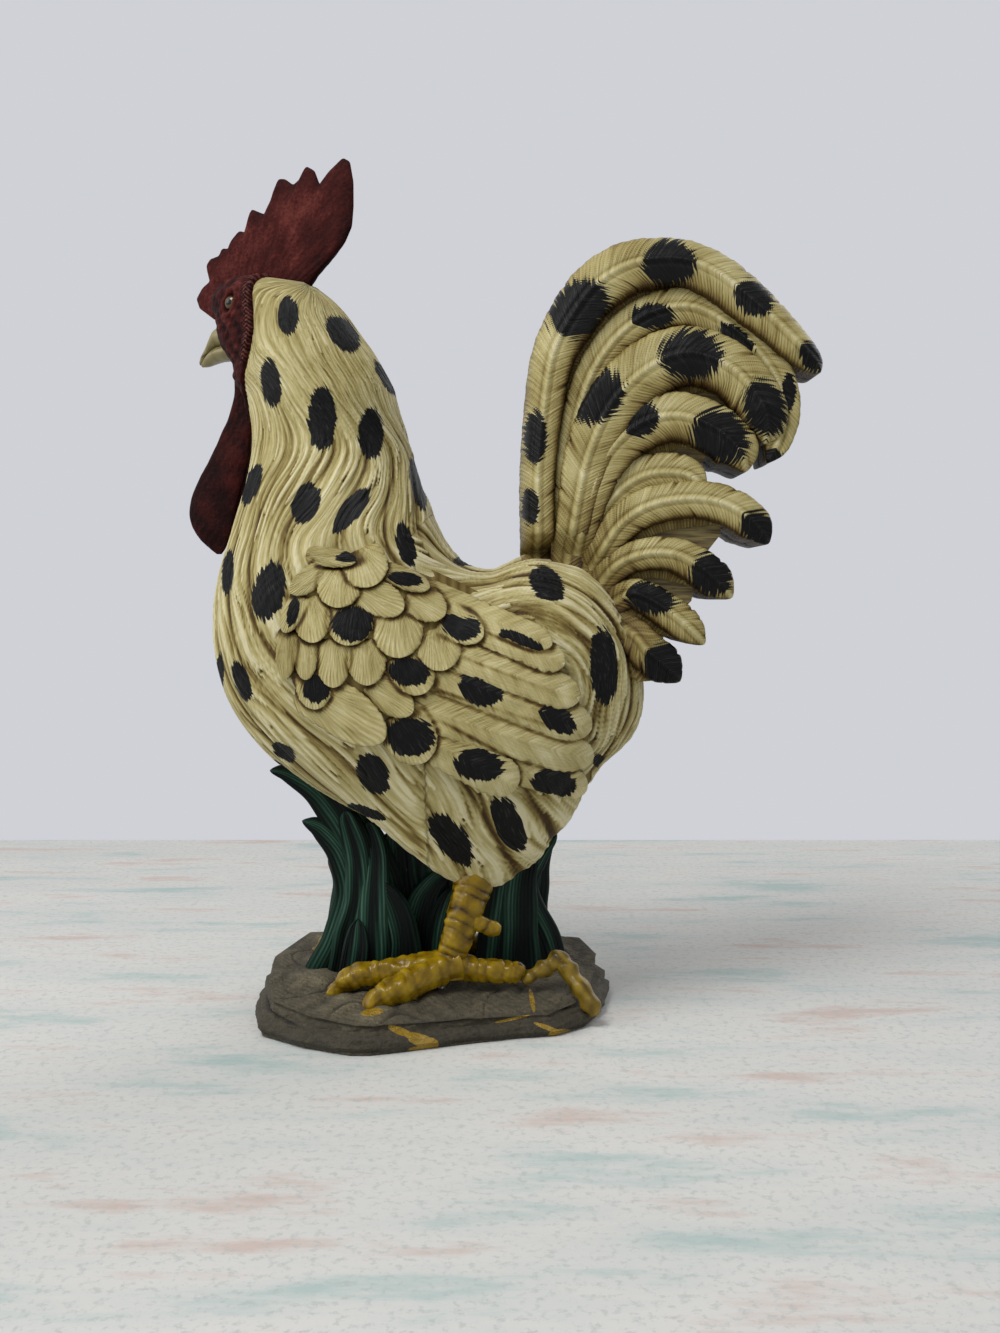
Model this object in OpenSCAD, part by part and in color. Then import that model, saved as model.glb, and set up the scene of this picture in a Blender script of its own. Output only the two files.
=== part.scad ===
// Standing rooster figurine: painted resin castings glued together on a rock plinth.
// Millimetres. The bird looks along -X, its left side faces -Y and +Z is up.
// The origin is the centre of the felt's underside, on the surface the figurine stands on.
// The body is drawn as a fan of cross-sections that all turn about one line behind the neck.

/* [Bird] */
// Distance from the fan's centre to the keel of the body
body_reach = 185; // [180:1:190]
// Half the width of the torso at its widest
body_half_w = 44; // [42:1:47]
// Wall of the hollow castings
wall = 6; // [5:0.5:7]
// How far each thigh swells below the belly
thigh_drop = 25; // [22:1:28]
// Depth of the grooves between the carved locks of plumage
lock_depth = 1.8; // [1:0.1:2]
// Turn of the head towards the bird's right, in degrees
head_turn = 25; // [15:1:30]
// Gap left for glue between castings that are seated on each other
seat_gap = 0.3; // [0.2:0.05:0.4]

/* [Head] */
// Length of the comb along the head
comb_len = 74; // [70:1:78]
// Height of the comb above the crown of the head
comb_h = 45; // [42:1:48]
// Thickness of the comb's blade
comb_t = 5; // [4:0.5:6]
// Diameter of each eye
eye_d = 6.4; // [5.8:0.2:7]
// Length of the beak from the face to its tip
beak_len = 14; // [12:0.5:16]
// Height of the beak where it leaves the face
beak_h = 12; // [11:0.5:13]
// Length of each wattle from the chin to its rounded end
wattle_len = 75; // [71:1:79]
// Thickness of each wattle
wattle_t = 6; // [5:0.5:7]

/* [Wings] */
// Length of a wing from the shoulder to its rear tips
wing_len = 112; // [107:1:116]
// Depth of a wing from its top edge to its lowest tips
wing_depth = 88; // [84:1:92]
// Thickness of a wing at its middle
wing_t = 6; // [5:0.5:7]
// How far the tip of a wing feather stands above the bed that carries it
tip_lift = 3.2; // [2.5:0.1:3.5]

/* [Tail] */
// Height of the tail above its root
tail_h = 115; // [112:1:118]
// Thickness of the tail core at its upper edge
core_top_t = 9; // [8:0.5:10]
// Thickness of the tail core at its root
core_root_t = 32; // [30:1:34]
// Thickness of a tail feather
feather_t = 8; // [7:0.5:9]
// Half the width of a broad tail feather
feather_half_w = 10; // [9:0.5:10.5]
// Diameter of the peg that plugs the tail into the body
peg_d = 24; // [22:1:26]
// Length of that peg inside the body
peg_len = 26; // [22:1:30]

/* [Legs] */
// Height of the bare shank between the rock and the feathers
leg_rise = 36; // [34:1:38]
// Diameter of a shank just above the foot
shank_d = 12; // [11:0.5:13]
// Distance of each leg from the middle of the bird
leg_half_gap = 22; // [20:0.5:23]
// How far the right foot stands ahead of the left
right_foot_ahead = 14; // [10:1:16]
// Diameter of a toe at its root
toe_d = 11; // [10:0.5:12]
// Diameter of the steel rod inside each leg
rod_d = 3; // [2.5:0.5:4]
// Length of the rod above the top of the shank
rod_above = 24; // [18:1:28]
// Length of the rod below the ankle, into the rock
rod_below = 18; // [14:1:20]

/* [Base] */
// Length of the rock
base_len = 140; // [136:1:146]
// Depth of the rock from front to back
base_depth = 116; // [112:1:120]
// Height of the rock under the bird
base_h = 15; // [14:0.5:16]
// Thickness of the felt sheet
felt_t = 1.5; // [1:0.25:2]
// How far the felt stands out below the rock
felt_proud = 0.5; // [0.4:0.1:0.8]

/* [Plants] */
// Height of the front clump of leaves above the rock
clump_h = 78; // [74:1:80]
// Half the width of a broad leaf
leaf_half_w = 6.5; // [6:0.25:7]
// Thickness of a leaf
leaf_t = 6; // [5:0.5:7]

/* [Hidden] */

// Colours of the paint
cream = [0.80, 0.75, 0.56];
wine = [0.36, 0.09, 0.11];
yellow = [0.72, 0.56, 0.10];
green = [0.10, 0.24, 0.19];
grey = [0.33, 0.31, 0.28];

// Extra length given to every cutting shape
cut = 1;

// The fan's centre, behind the neck and above the back
fan_x_share = 0.181;
fan_x = fan_x_share * body_reach;
fan_z = base_h + leg_rise + body_reach;
// Angle of the fan, from level and forwards and turning down, at which neck and torso meet
joint_angle = 34;
// Points round a cross-section, and how square the section is
skin_sides = 48;
skin_power = 2.3;

// Nearest part of each cross-section to the centre, by fan angle, in shares of body_reach
back_shares = [
  [-28.6, 0.475], [-27.6, 0.437], [-26, 0.402], [-23, 0.362], [-18, 0.312], [-12, 0.278], [-5, 0.256],
  [0, 0.25], [8, 0.245], [16, 0.243], [24, 0.245], [32, 0.253], [40, 0.264], [48, 0.279], [56, 0.303],
  [64, 0.332], [72, 0.352], [80, 0.351], [88, 0.326], [94, 0.315], [100, 0.317], [105, 0.327],
  [110, 0.343], [114, 0.385], [116.5, 0.46], [117.6, 0.51]
];
// Furthest part of each cross-section from the centre, in shares of body_reach
front_shares = [
  [-28.6, 0.50], [-27.6, 0.53], [-26, 0.582], [-23, 0.655], [-18, 0.69], [-12, 0.674], [-8, 0.632],
  [-4, 0.59], [0, 0.565], [8, 0.56], [16, 0.59], [24, 0.655], [30, 0.722], [36, 0.788], [41, 0.838],
  [47, 0.879], [54, 0.904], [60, 0.91], [66, 0.915], [72, 0.917], [80, 0.91], [88, 0.90], [94, 0.87],
  [98, 0.832], [102, 0.78], [106, 0.757], [110, 0.722], [113, 0.665], [115.5, 0.59], [117.6, 0.53]
];
// Half width of each cross-section, in shares of body_half_w
width_shares = [
  [-28.6, 0.08], [-27.6, 0.20], [-26, 0.30], [-23, 0.38], [-18, 0.42], [-12, 0.43], [-5, 0.44], [0, 0.46],
  [8, 0.50], [16, 0.57], [24, 0.66], [32, 0.76], [40, 0.86], [48, 0.93], [56, 0.98],
  [64, 1.0], [72, 1.0], [80, 0.99], [88, 0.95], [94, 0.90], [100, 0.83], [105, 0.75],
  [110, 0.64], [114, 0.48], [116.5, 0.28], [117.6, 0.08]
];
// Fan angles at which the castings have a cross-section
neck_angles = [-28.6, -28.1, -27.2, -25.5, -23, -20, -16, -12, -8, -4, 1, 7, 13, 20, 27, 34];
torso_angles = [
  34, 38, 42, 46, 50, 54, 58, 62, 66, 70, 74, 78, 82, 86, 90, 93, 96, 99, 102, 104.5, 107, 109, 111,
    113, 115, 116.5, 117.6
];
neck_cavity_angles = [-4, 2, 9, 17, 24, 29];
torso_cavity_angles = [39, 46, 54, 62, 70, 78, 86, 94, 101, 106];
// The hollow of the torso stops above the legs at this share of body_reach
cavity_floor_share = 0.78;
// Fan angles of the two thighs, and how wide each swelling is
left_thigh_angle = 85.5;
right_thigh_angle = 81;
thigh_spread_angle = 11;
thigh_side_share = 0.5;
thigh_side_spread_share = 0.3;

// The neck turns about an upright line, from nothing at the lower height to the full turn at the upper
neck_x_share = -0.2795;
neck_x = neck_x_share * body_reach;
turn_from_share = 0.15;
turn_to_share = -0.1;

// Eases from 0 to 1
function ease(t) = let(u = max(0, min(1, t))) u * u * (3 - 2 * u);
// Row of a table that holds x
function row_of(t, x, i = 0) = i >= len(t) - 2 || x < t[i + 1][0] ? i : row_of(t, x, i + 1);
function slope(t, i) =
  let(a = max(i - 1, 0), b = min(i + 1, len(t) - 1))
  (t[b][1] - t[a][1]) / (t[b][0] - t[a][0]);
// Smooth value of a table at x
function curve(t, x) =
  let(i = row_of(t, x), h = t[i + 1][0] - t[i][0], u = max(0, min(1, (x - t[i][0]) / h)))
  (2 * u * u * u - 3 * u * u + 1) * t[i][1] + (u * u * u - 2 * u * u + u) * slope(t, i) * h
  + (3 * u * u - 2 * u * u * u) * t[i + 1][1] + (u * u * u - u * u) * slope(t, i + 1) * h;
function powered(v, p) = sign(v) * pow(abs(v), 2 / p);
function gauss(v) = exp(-v * v);
function mirrored(ring) = [for (p = ring) [p.x, -p.y, p.z]];

// A point carried round by the turn of the neck and head
function turned(p) =
  let(a = head_turn * ease((p.z - fan_z + body_reach * turn_from_share)
      / (body_reach * (turn_from_share - turn_to_share))),
    d = p.x - neck_x)
  [neck_x + d * cos(a) + p.y * sin(a), p.y * cos(a) - d * sin(a), p.z];

// Signed area vector of a ring, to find which way round it runs
function ring_normal(r) =
  let(c = r[0], n = len(r))
  [for (j = [0:2]) let(a = (j + 1) % 3, b = (j + 2) % 3)
    vector_sum([for (i = [1:n - 2])
      (r[i][a] - c[a]) * (r[i + 1][b] - c[b]) - (r[i][b] - c[b]) * (r[i + 1][a] - c[a])])];
function vector_sum(v) = v * [for (x = v) 1];
function middle(r) = [for (j = [0:2]) vector_sum([for (p = r) p[j]]) / len(r)];

// A closed solid through rings that all have the same number of points
module loft(rings) {
  n = len(rings[0]);
  m = len(rings);
  forwards = ring_normal(rings[0]) * (middle(rings[1]) - middle(rings[0])) > 0;
  sides = [for (i = [0:m - 2], k = [0:n - 1])
    let(a = i * n + k, b = i * n + (k + 1) % n)
    each [[a, a + n, b + n], [a, b + n, b]]];
  caps = [for (k = [1:n - 2]) each [[0, k, k + 1], [(m - 1) * n, (m - 1) * n + k + 1, (m - 1) * n + k]]];
  faces = concat(sides, caps);
  polyhedron(
    points = [for (r = rings) each r],
    faces = forwards ? faces : [for (f = faces) [f[2], f[1], f[0]]],
    convexity = 6
  );
}

// Points of the fan
function fan_point(a, r, y) = [fan_x - r * cos(a), y, fan_z - r * sin(a)];
function back_of(a) = body_reach * curve(back_shares, a);
function front_of(a) = body_reach * curve(front_shares, a);
function width_of(a) = body_half_w * curve(width_shares, a);
function thigh_swell(a, side) =
  thigh_drop * gauss((a - (side < 0 ? left_thigh_angle : right_thigh_angle)) / thigh_spread_angle)
  * gauss((abs(side) - thigh_side_share) / thigh_side_spread_share);
function fan_ring(a, inset, sides, furthest) =
  let(back = back_of(a) + inset,
    front = min(front_of(a) - inset, furthest),
    half = (front - back) / 2,
    w = width_of(a) - inset)
  [for (k = [0:sides - 1])
    let(t = 360 * k / sides,
      out = powered(cos(t), skin_power),
      side = powered(sin(t), skin_power),
      swell = inset > 0 ? 0 : max(0, out) * thigh_swell(a, side))
    fan_point(a, back + half + half * out + swell, w * side)];
// Distance from the middle plane to the skin, at a place in the middle plane
function skin_y(x, z) =
  let(a = atan2(fan_z - z, fan_x - x),
    r = norm([fan_x - x, fan_z - z]),
    half = (front_of(a) - back_of(a)) / 2,
    s = min(0.999, abs(r - back_of(a) - half) / half))
  width_of(a) * pow(1 - pow(s, skin_power), 1 / skin_power);

// Carved locks of plumage: grooves that run down the fan, round the rump and down the thighs.
// The fan's grooves wave from side to side. Each stretch fades into the next over a blend.
lock_columns = 16;
lock_wave_share = 0.45;
lock_wave_angle = 126;
lock_wave_start = 34;
groove_power = 0.7;
// Fan angle where the locks begin, and the angle over which they deepen
lock_low = -10;
lock_rise = 46;
rump_locks = 6;
rump_drop_share = 0.595;
rump_core_share = 0.162;
rump_edge_share = 0.076;
rump_blend_share = 0.065;
thigh_locks_share = 0.1;
thigh_top_share = 0.69;
thigh_front_share = -0.045;
thigh_blend_share = 0.076;
// Direction across the thigh's locks, and the slopes of the rump's and the thigh's upper bounds
thigh_lean = [0.88, 0.47];
rump_slope = 0.55;
thigh_slope = 0.35;
rump_z = fan_z - rump_drop_share * body_reach;
function groove(phase) = 1 - pow(abs(sin(180 * phase)), groove_power);
function fan_phase(a, t) =
  let(wave = sin(6 * a + lock_wave_angle * cos(t) + lock_wave_start))
  lock_columns * t / 360 + lock_wave_share * wave * ease((a - lock_low) / 30);
function rump_phase(p) =
  rump_locks * atan2(p.y, norm([p.x - fan_x, p.z - rump_z]) - rump_core_share * body_reach) / 180;
function thigh_phase(p) = (thigh_lean.x * p.x + thigh_lean.y * p.z) / (thigh_locks_share * body_reach);
function lock_cut(a, t, p) =
  let(past = p.x + rump_slope * (p.z - rump_z) - rump_edge_share * body_reach,
    to_rump = ease(past / (rump_blend_share * body_reach)),
    below = fan_z - thigh_top_share * body_reach - p.z - thigh_slope * (p.x - fan_x),
    behind = p.x - thigh_front_share * body_reach,
    blend = thigh_blend_share * body_reach,
    to_thigh = ease(below / blend) * ease(behind / blend),
    upper = groove(fan_phase(a, t)) * (1 - to_rump) + groove(rump_phase(p)) * to_rump)
  lock_depth * ease((a - lock_low) / lock_rise)
    * (upper * (1 - to_thigh) + groove(thigh_phase(p)) * to_thigh);
function carved_ring(a) =
  let(back = back_of(a), half = (front_of(a) - back) / 2, w = width_of(a))
  [for (k = [0:skin_sides - 1])
    let(t = 360 * k / skin_sides,
      out = powered(cos(t), skin_power),
      side = powered(sin(t), skin_power),
      swell = max(0, out) * thigh_swell(a, side),
      cut = lock_cut(a, t, fan_point(a, back + half + half * out + swell, w * side)),
      depth = min(half / 2, w / 2, cut))
    fan_point(a, back + half + (half - depth) * out + swell, (w - depth) * side)];
module neck_carved() loft([for (a = neck_angles) [for (p = carved_ring(a)) turned(p)]]);
module torso_carved() loft([for (a = torso_angles) carved_ring(a)]);

module neck_skin()
  loft([for (a = neck_angles) [for (p = fan_ring(a, 0, skin_sides, body_reach)) turned(p)]]);
module torso_skin() loft([for (a = torso_angles) fan_ring(a, 0, skin_sides, body_reach)]);

// Places that a fan angle carries: the middle of the neck joint and the way out of it
joint_r = (back_of(joint_angle) + front_of(joint_angle)) / 2;
joint_half = (front_of(joint_angle) - back_of(joint_angle)) / 2;
spigot_r = min(joint_half, width_of(joint_angle)) - 2 * wall;
spigot_bore_r = spigot_r - wall;
spigot_len = 2 * wall;
spigot_clear = 0.25;
module at_joint()
  translate(fan_point(joint_angle, joint_r, 0)) rotate([0, 90 + joint_angle + 90, 0]) children();

// Torso: a hollow casting with a socket for the neck, one for the tail and two holes for the rods
module torso() color(cream) difference() {
  torso_carved();
  loft([for (a = torso_cavity_angles) fan_ring(a, wall, 16, body_reach * cavity_floor_share)]);
  at_joint() translate([0, 0, -cut])
    cylinder(h = spigot_len + wall + cut, r = spigot_r + spigot_clear, $fn = 48);
  at_tail() translate([0, 0, -peg_len - cut])
    cylinder(h = peg_len + 4 * wall, r = peg_d / 2 + spigot_clear, $fn = 48);
  left_rod_hole(rod_above);
  right_rod_hole(rod_above);
  left_shank_top(seat_gap);
  right_shank_top(seat_gap);
}

// Neck and head: a hollow casting with a tube that plugs into the torso
module neck_and_head() color(cream) {
  difference() {
    union() {
      neck_carved();
      at_joint() translate([0, 0, -wall]) cylinder(h = spigot_len + wall, r = spigot_r, $fn = 48);
    }
    loft([for (a = neck_cavity_angles) [for (p = fan_ring(a, wall, 16, body_reach)) turned(p)]]);
    at_joint() translate([0, 0, -2 * wall])
      cylinder(h = spigot_len + 2 * wall + cut, r = spigot_bore_r, $fn = 48);
    face_block();
    comb_blade(seat_gap);
  }
}

// Head frame: its X runs from the turning line of the neck, and it has the full turn
module in_head() translate([neck_x, 0, 0]) rotate([0, 0, -head_turn]) children();
// Length and height of the head, which carry the face, the eyes, the beak and the wattles
head_len_share = 0.4;
head_h_share = 0.243;
head_len = head_len_share * body_reach;
head_h = head_h_share * body_reach;
// Outline of the red skin of the face, seen from the side, in shares of head_len and head_h
face_outline_shares = [
  [-0.13, 0.40], [-0.13, -0.05], [-0.10, -0.45], [-0.13, -0.62], [-0.18, -0.72], [-0.70, -0.72],
  [-0.70, 0.40]
];
crown_z = fan_z + body_reach * 0.24;
module face_block() in_head() rotate([90, 0, 0]) linear_extrude(height = 2 * body_half_w, center = true)
  polygon([for (p = face_outline_shares) [p.x * head_len, crown_z + p.y * head_h]]);

// Face: the red front of the head, seated against the neck casting
module face() color(wine) difference() {
  intersection() {
    neck_skin();
    face_block();
  }
  comb_blade(seat_gap);
  eye(-1, seat_gap);
  eye(1, seat_gap);
  beak_half(upper_beak_shares);
  beak_half(lower_beak_shares);
}

// Comb: a flat toothed blade whose lower edge sits in a groove along the head
comb_outline_shares = [
  [-0.64, -0.03], [-0.60, 0.06], [-0.55, 0.11], [-0.55, 0.15], [-0.57, 0.25], [-0.55, 0.30],
  [-0.49, 0.32],
  [-0.47, 0.38], [-0.43, 0.37], [-0.41, 0.44], [-0.36, 0.51], [-0.32, 0.49], [-0.28, 0.68], [-0.20, 0.62],
  [-0.15, 0.75], [-0.11, 0.90], [-0.07, 0.89], [-0.02, 0.83], [0.02, 0.87], [0.06, 0.97], [0.11, 0.92],
  [0.14, 0.80], [0.20, 0.90], [0.28, 0.99], [0.32, 0.95], [0.34, 0.78], [0.34, 0.58], [0.33, 0.42],
  [0.29, 0.30], [0.21, 0.17], [0.13, 0.06], [0.06, -0.08], [-0.05, -0.14], [-0.30, -0.11],
  [-0.40, -0.10], [-0.50, -0.27], [-0.57, -0.19], [-0.62, -0.11]
];
module comb_blade(grow) in_head() rotate([90, 0, 0])
  linear_extrude(height = comb_t + 2 * grow, center = true)
    polygon([for (p = comb_outline_shares) [p.x * comb_len, crown_z + p.y * comb_h - grow]]);
module comb() color(wine) comb_blade(0);

// Eyes: balls let into the face
eye_x_share = -0.26;
eye_z_share = -0.19;
eye_sunk_share = 0.3;
eye_x = eye_x_share * head_len;
eye_z = crown_z + eye_z_share * head_h;
eye_y = skin_y(neck_x + eye_x, eye_z) - eye_sunk_share * eye_d;
module eye(side, grow)
  in_head() translate([eye_x, side * eye_y, eye_z]) sphere(d = eye_d + 2 * grow, $fn = 32);
module left_eye() color("goldenrod") eye(-1, 0);
module right_eye() color("goldenrod") eye(1, 0);

// Beak: two halves whose roots are let into the face.
// Rows: forward share of beak_len, height, half height, half width
beak_root_x_share = -0.43;
beak_z_share = -0.50;
upper_beak_shares = [
  [-0.25, 0.38, 0.33, 0.46], [0, 0.40, 0.36, 0.48], [0.35, 0.38, 0.32, 0.42],
  [0.52, 0.22, 0.26, 0.34], [0.7, -0.01, 0.20, 0.24],
  [0.9, -0.26, 0.12, 0.12], [1.03, -0.40, 0.04, 0.05]
];
lower_beak_shares = [
  [-0.25, -0.20, 0.17, 0.36], [0, -0.20, 0.19, 0.40], [0.3, -0.23, 0.17, 0.34],
  [0.55, -0.33, 0.13, 0.24], [0.75, -0.44, 0.08, 0.14],
  [0.84, -0.49, 0.03, 0.05]
];
function beak_ring(row) = [for (t = [0:30:330])
  [beak_root_x_share * head_len - row[0] * beak_len, row[3] * beak_h * cos(t),
    crown_z + beak_z_share * head_h + (row[1] + row[2] * sin(t)) * beak_h]];
module beak_half(table) in_head() loft([for (row = table) beak_ring(row)]);
module upper_beak() color("darkkhaki") beak_half(upper_beak_shares);
module lower_beak() color("darkkhaki") beak_half(lower_beak_shares);

// Wattles: two hanging lobes. Rows: forward share of head_len, down share and half width share of wattle_len
wattle_shares = [
  [-0.30, 0.0, 0.047], [-0.28, 0.10, 0.052], [-0.275, 0.19, 0.06], [-0.29, 0.29, 0.077],
  [-0.33, 0.40, 0.098],
  [-0.37, 0.51, 0.125], [-0.42, 0.61, 0.145], [-0.46, 0.70, 0.153], [-0.48, 0.78, 0.150],
  [-0.48, 0.85, 0.132],
  [-0.47, 0.92, 0.093], [-0.45, 0.97, 0.05], [-0.44, 1.0, 0.015]
];
wattle_top_share = -0.62;
wattle_side_share = 0.16;
function wattle_ring(row, side) = [for (t = [0:36:324])
  [row[0] * head_len + row[2] * wattle_len * cos(t),
    side * (wattle_side_share * body_half_w) + (wattle_t / 2) * sin(t) * min(1, 8 * row[2]),
    crown_z + wattle_top_share * head_h - row[1] * wattle_len]];
module wattle(side) color(wine) difference() {
  in_head() loft([for (row = wattle_shares) wattle_ring(row, side)]);
  neck_skin();
  torso_skin();
}
module left_wattle() wattle(-1);
module right_wattle() wattle(1);

// Wings: shells that follow the skin.
// Rows: share along wing_len from the shoulder, top and bottom shares of wing_depth
wing_x_share = -0.281;
wing_x = wing_x_share * body_reach;
wing_z = fan_z - body_reach * 0.803;
wing_shares = [
  [0.0, 0.77, 0.54], [0.05, 0.90, 0.42], [0.12, 0.97, 0.35], [0.2, 1.0, 0.29], [0.3, 1.0, 0.22],
  [0.4, 0.98, 0.16], [0.5, 0.93, 0.11], [0.6, 0.87, 0.07], [0.7, 0.80, 0.04], [0.8, 0.70, 0.01],
  [0.9, 0.54, 0.0], [0.97, 0.36, 0.01], [1.0, 0.20, 0.06]
];
// The wing stands out from the middle plane by at least this share of body_half_w, less towards its rear tips
wing_stand_share = 0.93;
wing_stand_fall_share = 0.25;
// Cross-sections along a wing, and steps across its face and its back
wing_rows = 36;
face_steps = 28;
back_steps = 14;
wing_top_shares = [for (r = wing_shares) [r[0], r[1]]];
wing_foot_shares = [for (r = wing_shares) [r[0], r[2]]];
function wing_rise(u, v) = wing_t * (0.25 + 0.75 * pow(sin(180 * v), 0.6)) * (0.35 + 0.65 * ease(u * 6));
function wing_under(u, x, z) =
  let(stand = wing_stand_share - wing_stand_fall_share * u * u)
  max(skin_y(x, z), body_half_w * stand - wing_t);
function wing_place(u, v) = [wing_x + u * wing_len, wing_z + v * wing_depth];

// Feathers of the wing, from the shoulder back and down. A row holds the root's and the tip's place in
// shares of wing_len and wing_depth, then the half width as a share of wing_depth
covert_shares = [
  [0.10, 1.00, 0.24, 0.98, 0.04], [0.13, 0.94, 0.03, 0.85, 0.04], [0.19, 0.93, 0.18, 0.79, 0.09],
  [0.25, 1.00, 0.30, 0.88, 0.09], [0.34, 0.93, 0.47, 0.87, 0.04], [0.26, 0.86, 0.39, 0.78, 0.07],
  [0.41, 0.84, 0.52, 0.76, 0.07], [0.06, 0.83, 0.01, 0.69, 0.04], [0.09, 0.82, 0.11, 0.65, 0.08],
  [0.23, 0.80, 0.21, 0.64, 0.09], [0.37, 0.77, 0.38, 0.59, 0.10], [0.49, 0.69, 0.52, 0.54, 0.09],
  [0.52, 0.75, 0.64, 0.67, 0.07], [0.02, 0.68, 0.01, 0.50, 0.04], [0.08, 0.66, 0.08, 0.50, 0.05],
  [0.17, 0.65, 0.17, 0.47, 0.07], [0.27, 0.65, 0.28, 0.48, 0.08], [0.39, 0.60, 0.46, 0.45, 0.09],
  [0.10, 0.53, 0.11, 0.38, 0.07], [0.29, 0.48, 0.42, 0.37, 0.07], [0.10, 0.45, 0.33, 0.26, 0.11],
  [0.37, 0.35, 0.46, 0.17, 0.11]
];
flight_shares = [
  [0.49, 0.84, 0.86, 0.64, 0.05], [0.56, 0.75, 0.90, 0.56, 0.06], [0.53, 0.62, 0.95, 0.42, 0.07],
  [0.49, 0.54, 0.99, 0.29, 0.08], [0.44, 0.39, 1.00, 0.16, 0.08], [0.45, 0.27, 0.75, 0.06, 0.09],
  [0.68, 0.17, 0.98, 0.03, 0.07]
];
// Where the rounded tip of a feather begins, as a share of the way from its root
covert_round_share = 0.4;
flight_round_share = 0.8;
// A feather reaches behind its root by this share of its length, and starts at this share of tip_lift
root_reach_share = 0.3;
root_lift_share = 0.25;
// Thickness of the bed under the feathers at the wing's rim and at its middle, and how far in the feathers'
// rims slope, as shares of wing_t
bed_rim_share = 0.2;
bed_middle_share = 0.5;
rim_share = 0.5;
// The back of the wing lies on the torso, or hangs this share of wing_t behind the bed where the torso
// falls away
back_share = 0.5;
function plume_lift(c, f, round) =
  let(root = wing_place(f[0], f[1]),
    way = wing_place(f[2], f[3]) - root,
    s = (c - root) * way / (way * way),
    across = (c - root) * [way.y, -way.x] / norm(way),
    half = f[4] * wing_depth,
    inside = (1 - norm([max(0, (s - round) / (1 - round)), across / half])) * half,
    risen = root_lift_share + (1 - root_lift_share) * max(0, s))
  s < -root_reach_share ? 0 : tip_lift * risen * ease(inside / (rim_share * wing_t));
function wing_lift(c) = max(concat(
  [for (f = covert_shares) plume_lift(c, f, covert_round_share)],
  [for (f = flight_shares) plume_lift(c, f, flight_round_share)]
));
function wing_point(u, v, face) =
  let(c = wing_place(u, curve(wing_foot_shares, u) * (1 - v) + curve(wing_top_shares, u) * v),
    under = wing_under(u, c.x, c.y),
    bed = under + bed_rim_share * wing_t + (bed_middle_share - bed_rim_share) * wing_rise(u, v),
    back = max(skin_y(c.x, c.y), under - back_share * wing_t))
  [c.x, -(seat_gap + (face ? bed + wing_lift(c) : back)), c.y];
function wing_ring(u) = concat(
  [for (k = [0:face_steps]) wing_point(u, k / face_steps, true)],
  [for (k = [back_steps:-1:0]) wing_point(u, k / back_steps, false)]
);
function wing_rings() = [for (i = [0:wing_rows]) wing_ring(i / wing_rows)];
module wing(side) color(cream) difference() {
  loft(side < 0 ? wing_rings() : [for (r = wing_rings()) mirrored(r)]);
  torso_skin();
}
module left_wing() wing(-1);
module right_wing() wing(1);

// Tail frame: the peg's axis leans back from upright
tail_root_x_share = 0.3027;
tail_root_x = tail_root_x_share * body_reach;
tail_root_z = fan_z - body_reach * 0.34;
tail_lean = 25;
module at_tail() translate([tail_root_x, 0, tail_root_z]) rotate([0, tail_lean, 0]) children();

// Tail core: a wedge with the peg under it. Outline in shares of tail_h from the root
core_outline_shares = [
  [-0.08, 0.0], [-0.08, 0.35], [-0.04, 0.60], [0.08, 0.80], [0.25, 0.90], [0.42, 0.86], [0.52, 0.72],
  [0.53, 0.58], [0.47, 0.46], [0.42, 0.38], [0.38, 0.28], [0.43, 0.20], [0.46, 0.10], [0.38, 0.0],
  [0.36, -0.12], [0.28, -0.20], [0.25, -0.30], [0.17, -0.37], [0.06, -0.30], [-0.05, -0.15]
];
function core_half(z) =
  let(u = (z - tail_root_z) / tail_h)
  (core_root_t + (core_top_t - core_root_t) * u) / 2;
// What lies below the root lies on the rump, so it follows the size of the body
rump_share = 0.6216;
function tail_place(p, low) =
  let(size = low ? rump_share * body_reach : tail_h)
  [tail_root_x + p.x * size, tail_root_z + p.y * size];
module core_plate() intersection() {
  rotate([90, 0, 0]) linear_extrude(height = 2 * core_root_t, center = true)
    polygon([for (p = core_outline_shares) tail_place(p, p.y < 0)]);
  rotate([90, 0, 90]) linear_extrude(height = 4 * tail_h, center = true)
    polygon([for (s = [[-1, -0.5], [1, -0.5], [1, 1.2], [-1, 1.2]])
      let(z = tail_root_z + s.y * tail_h) [s.x * core_half(z), z]]);
}
module tail_core() color(cream) union() {
  difference() {
    core_plate();
    torso_skin();
  }
  at_tail() translate([0, 0, -peg_len]) cylinder(h = peg_len + 2 * wall, d = peg_d, $fn = 48);
}

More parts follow.
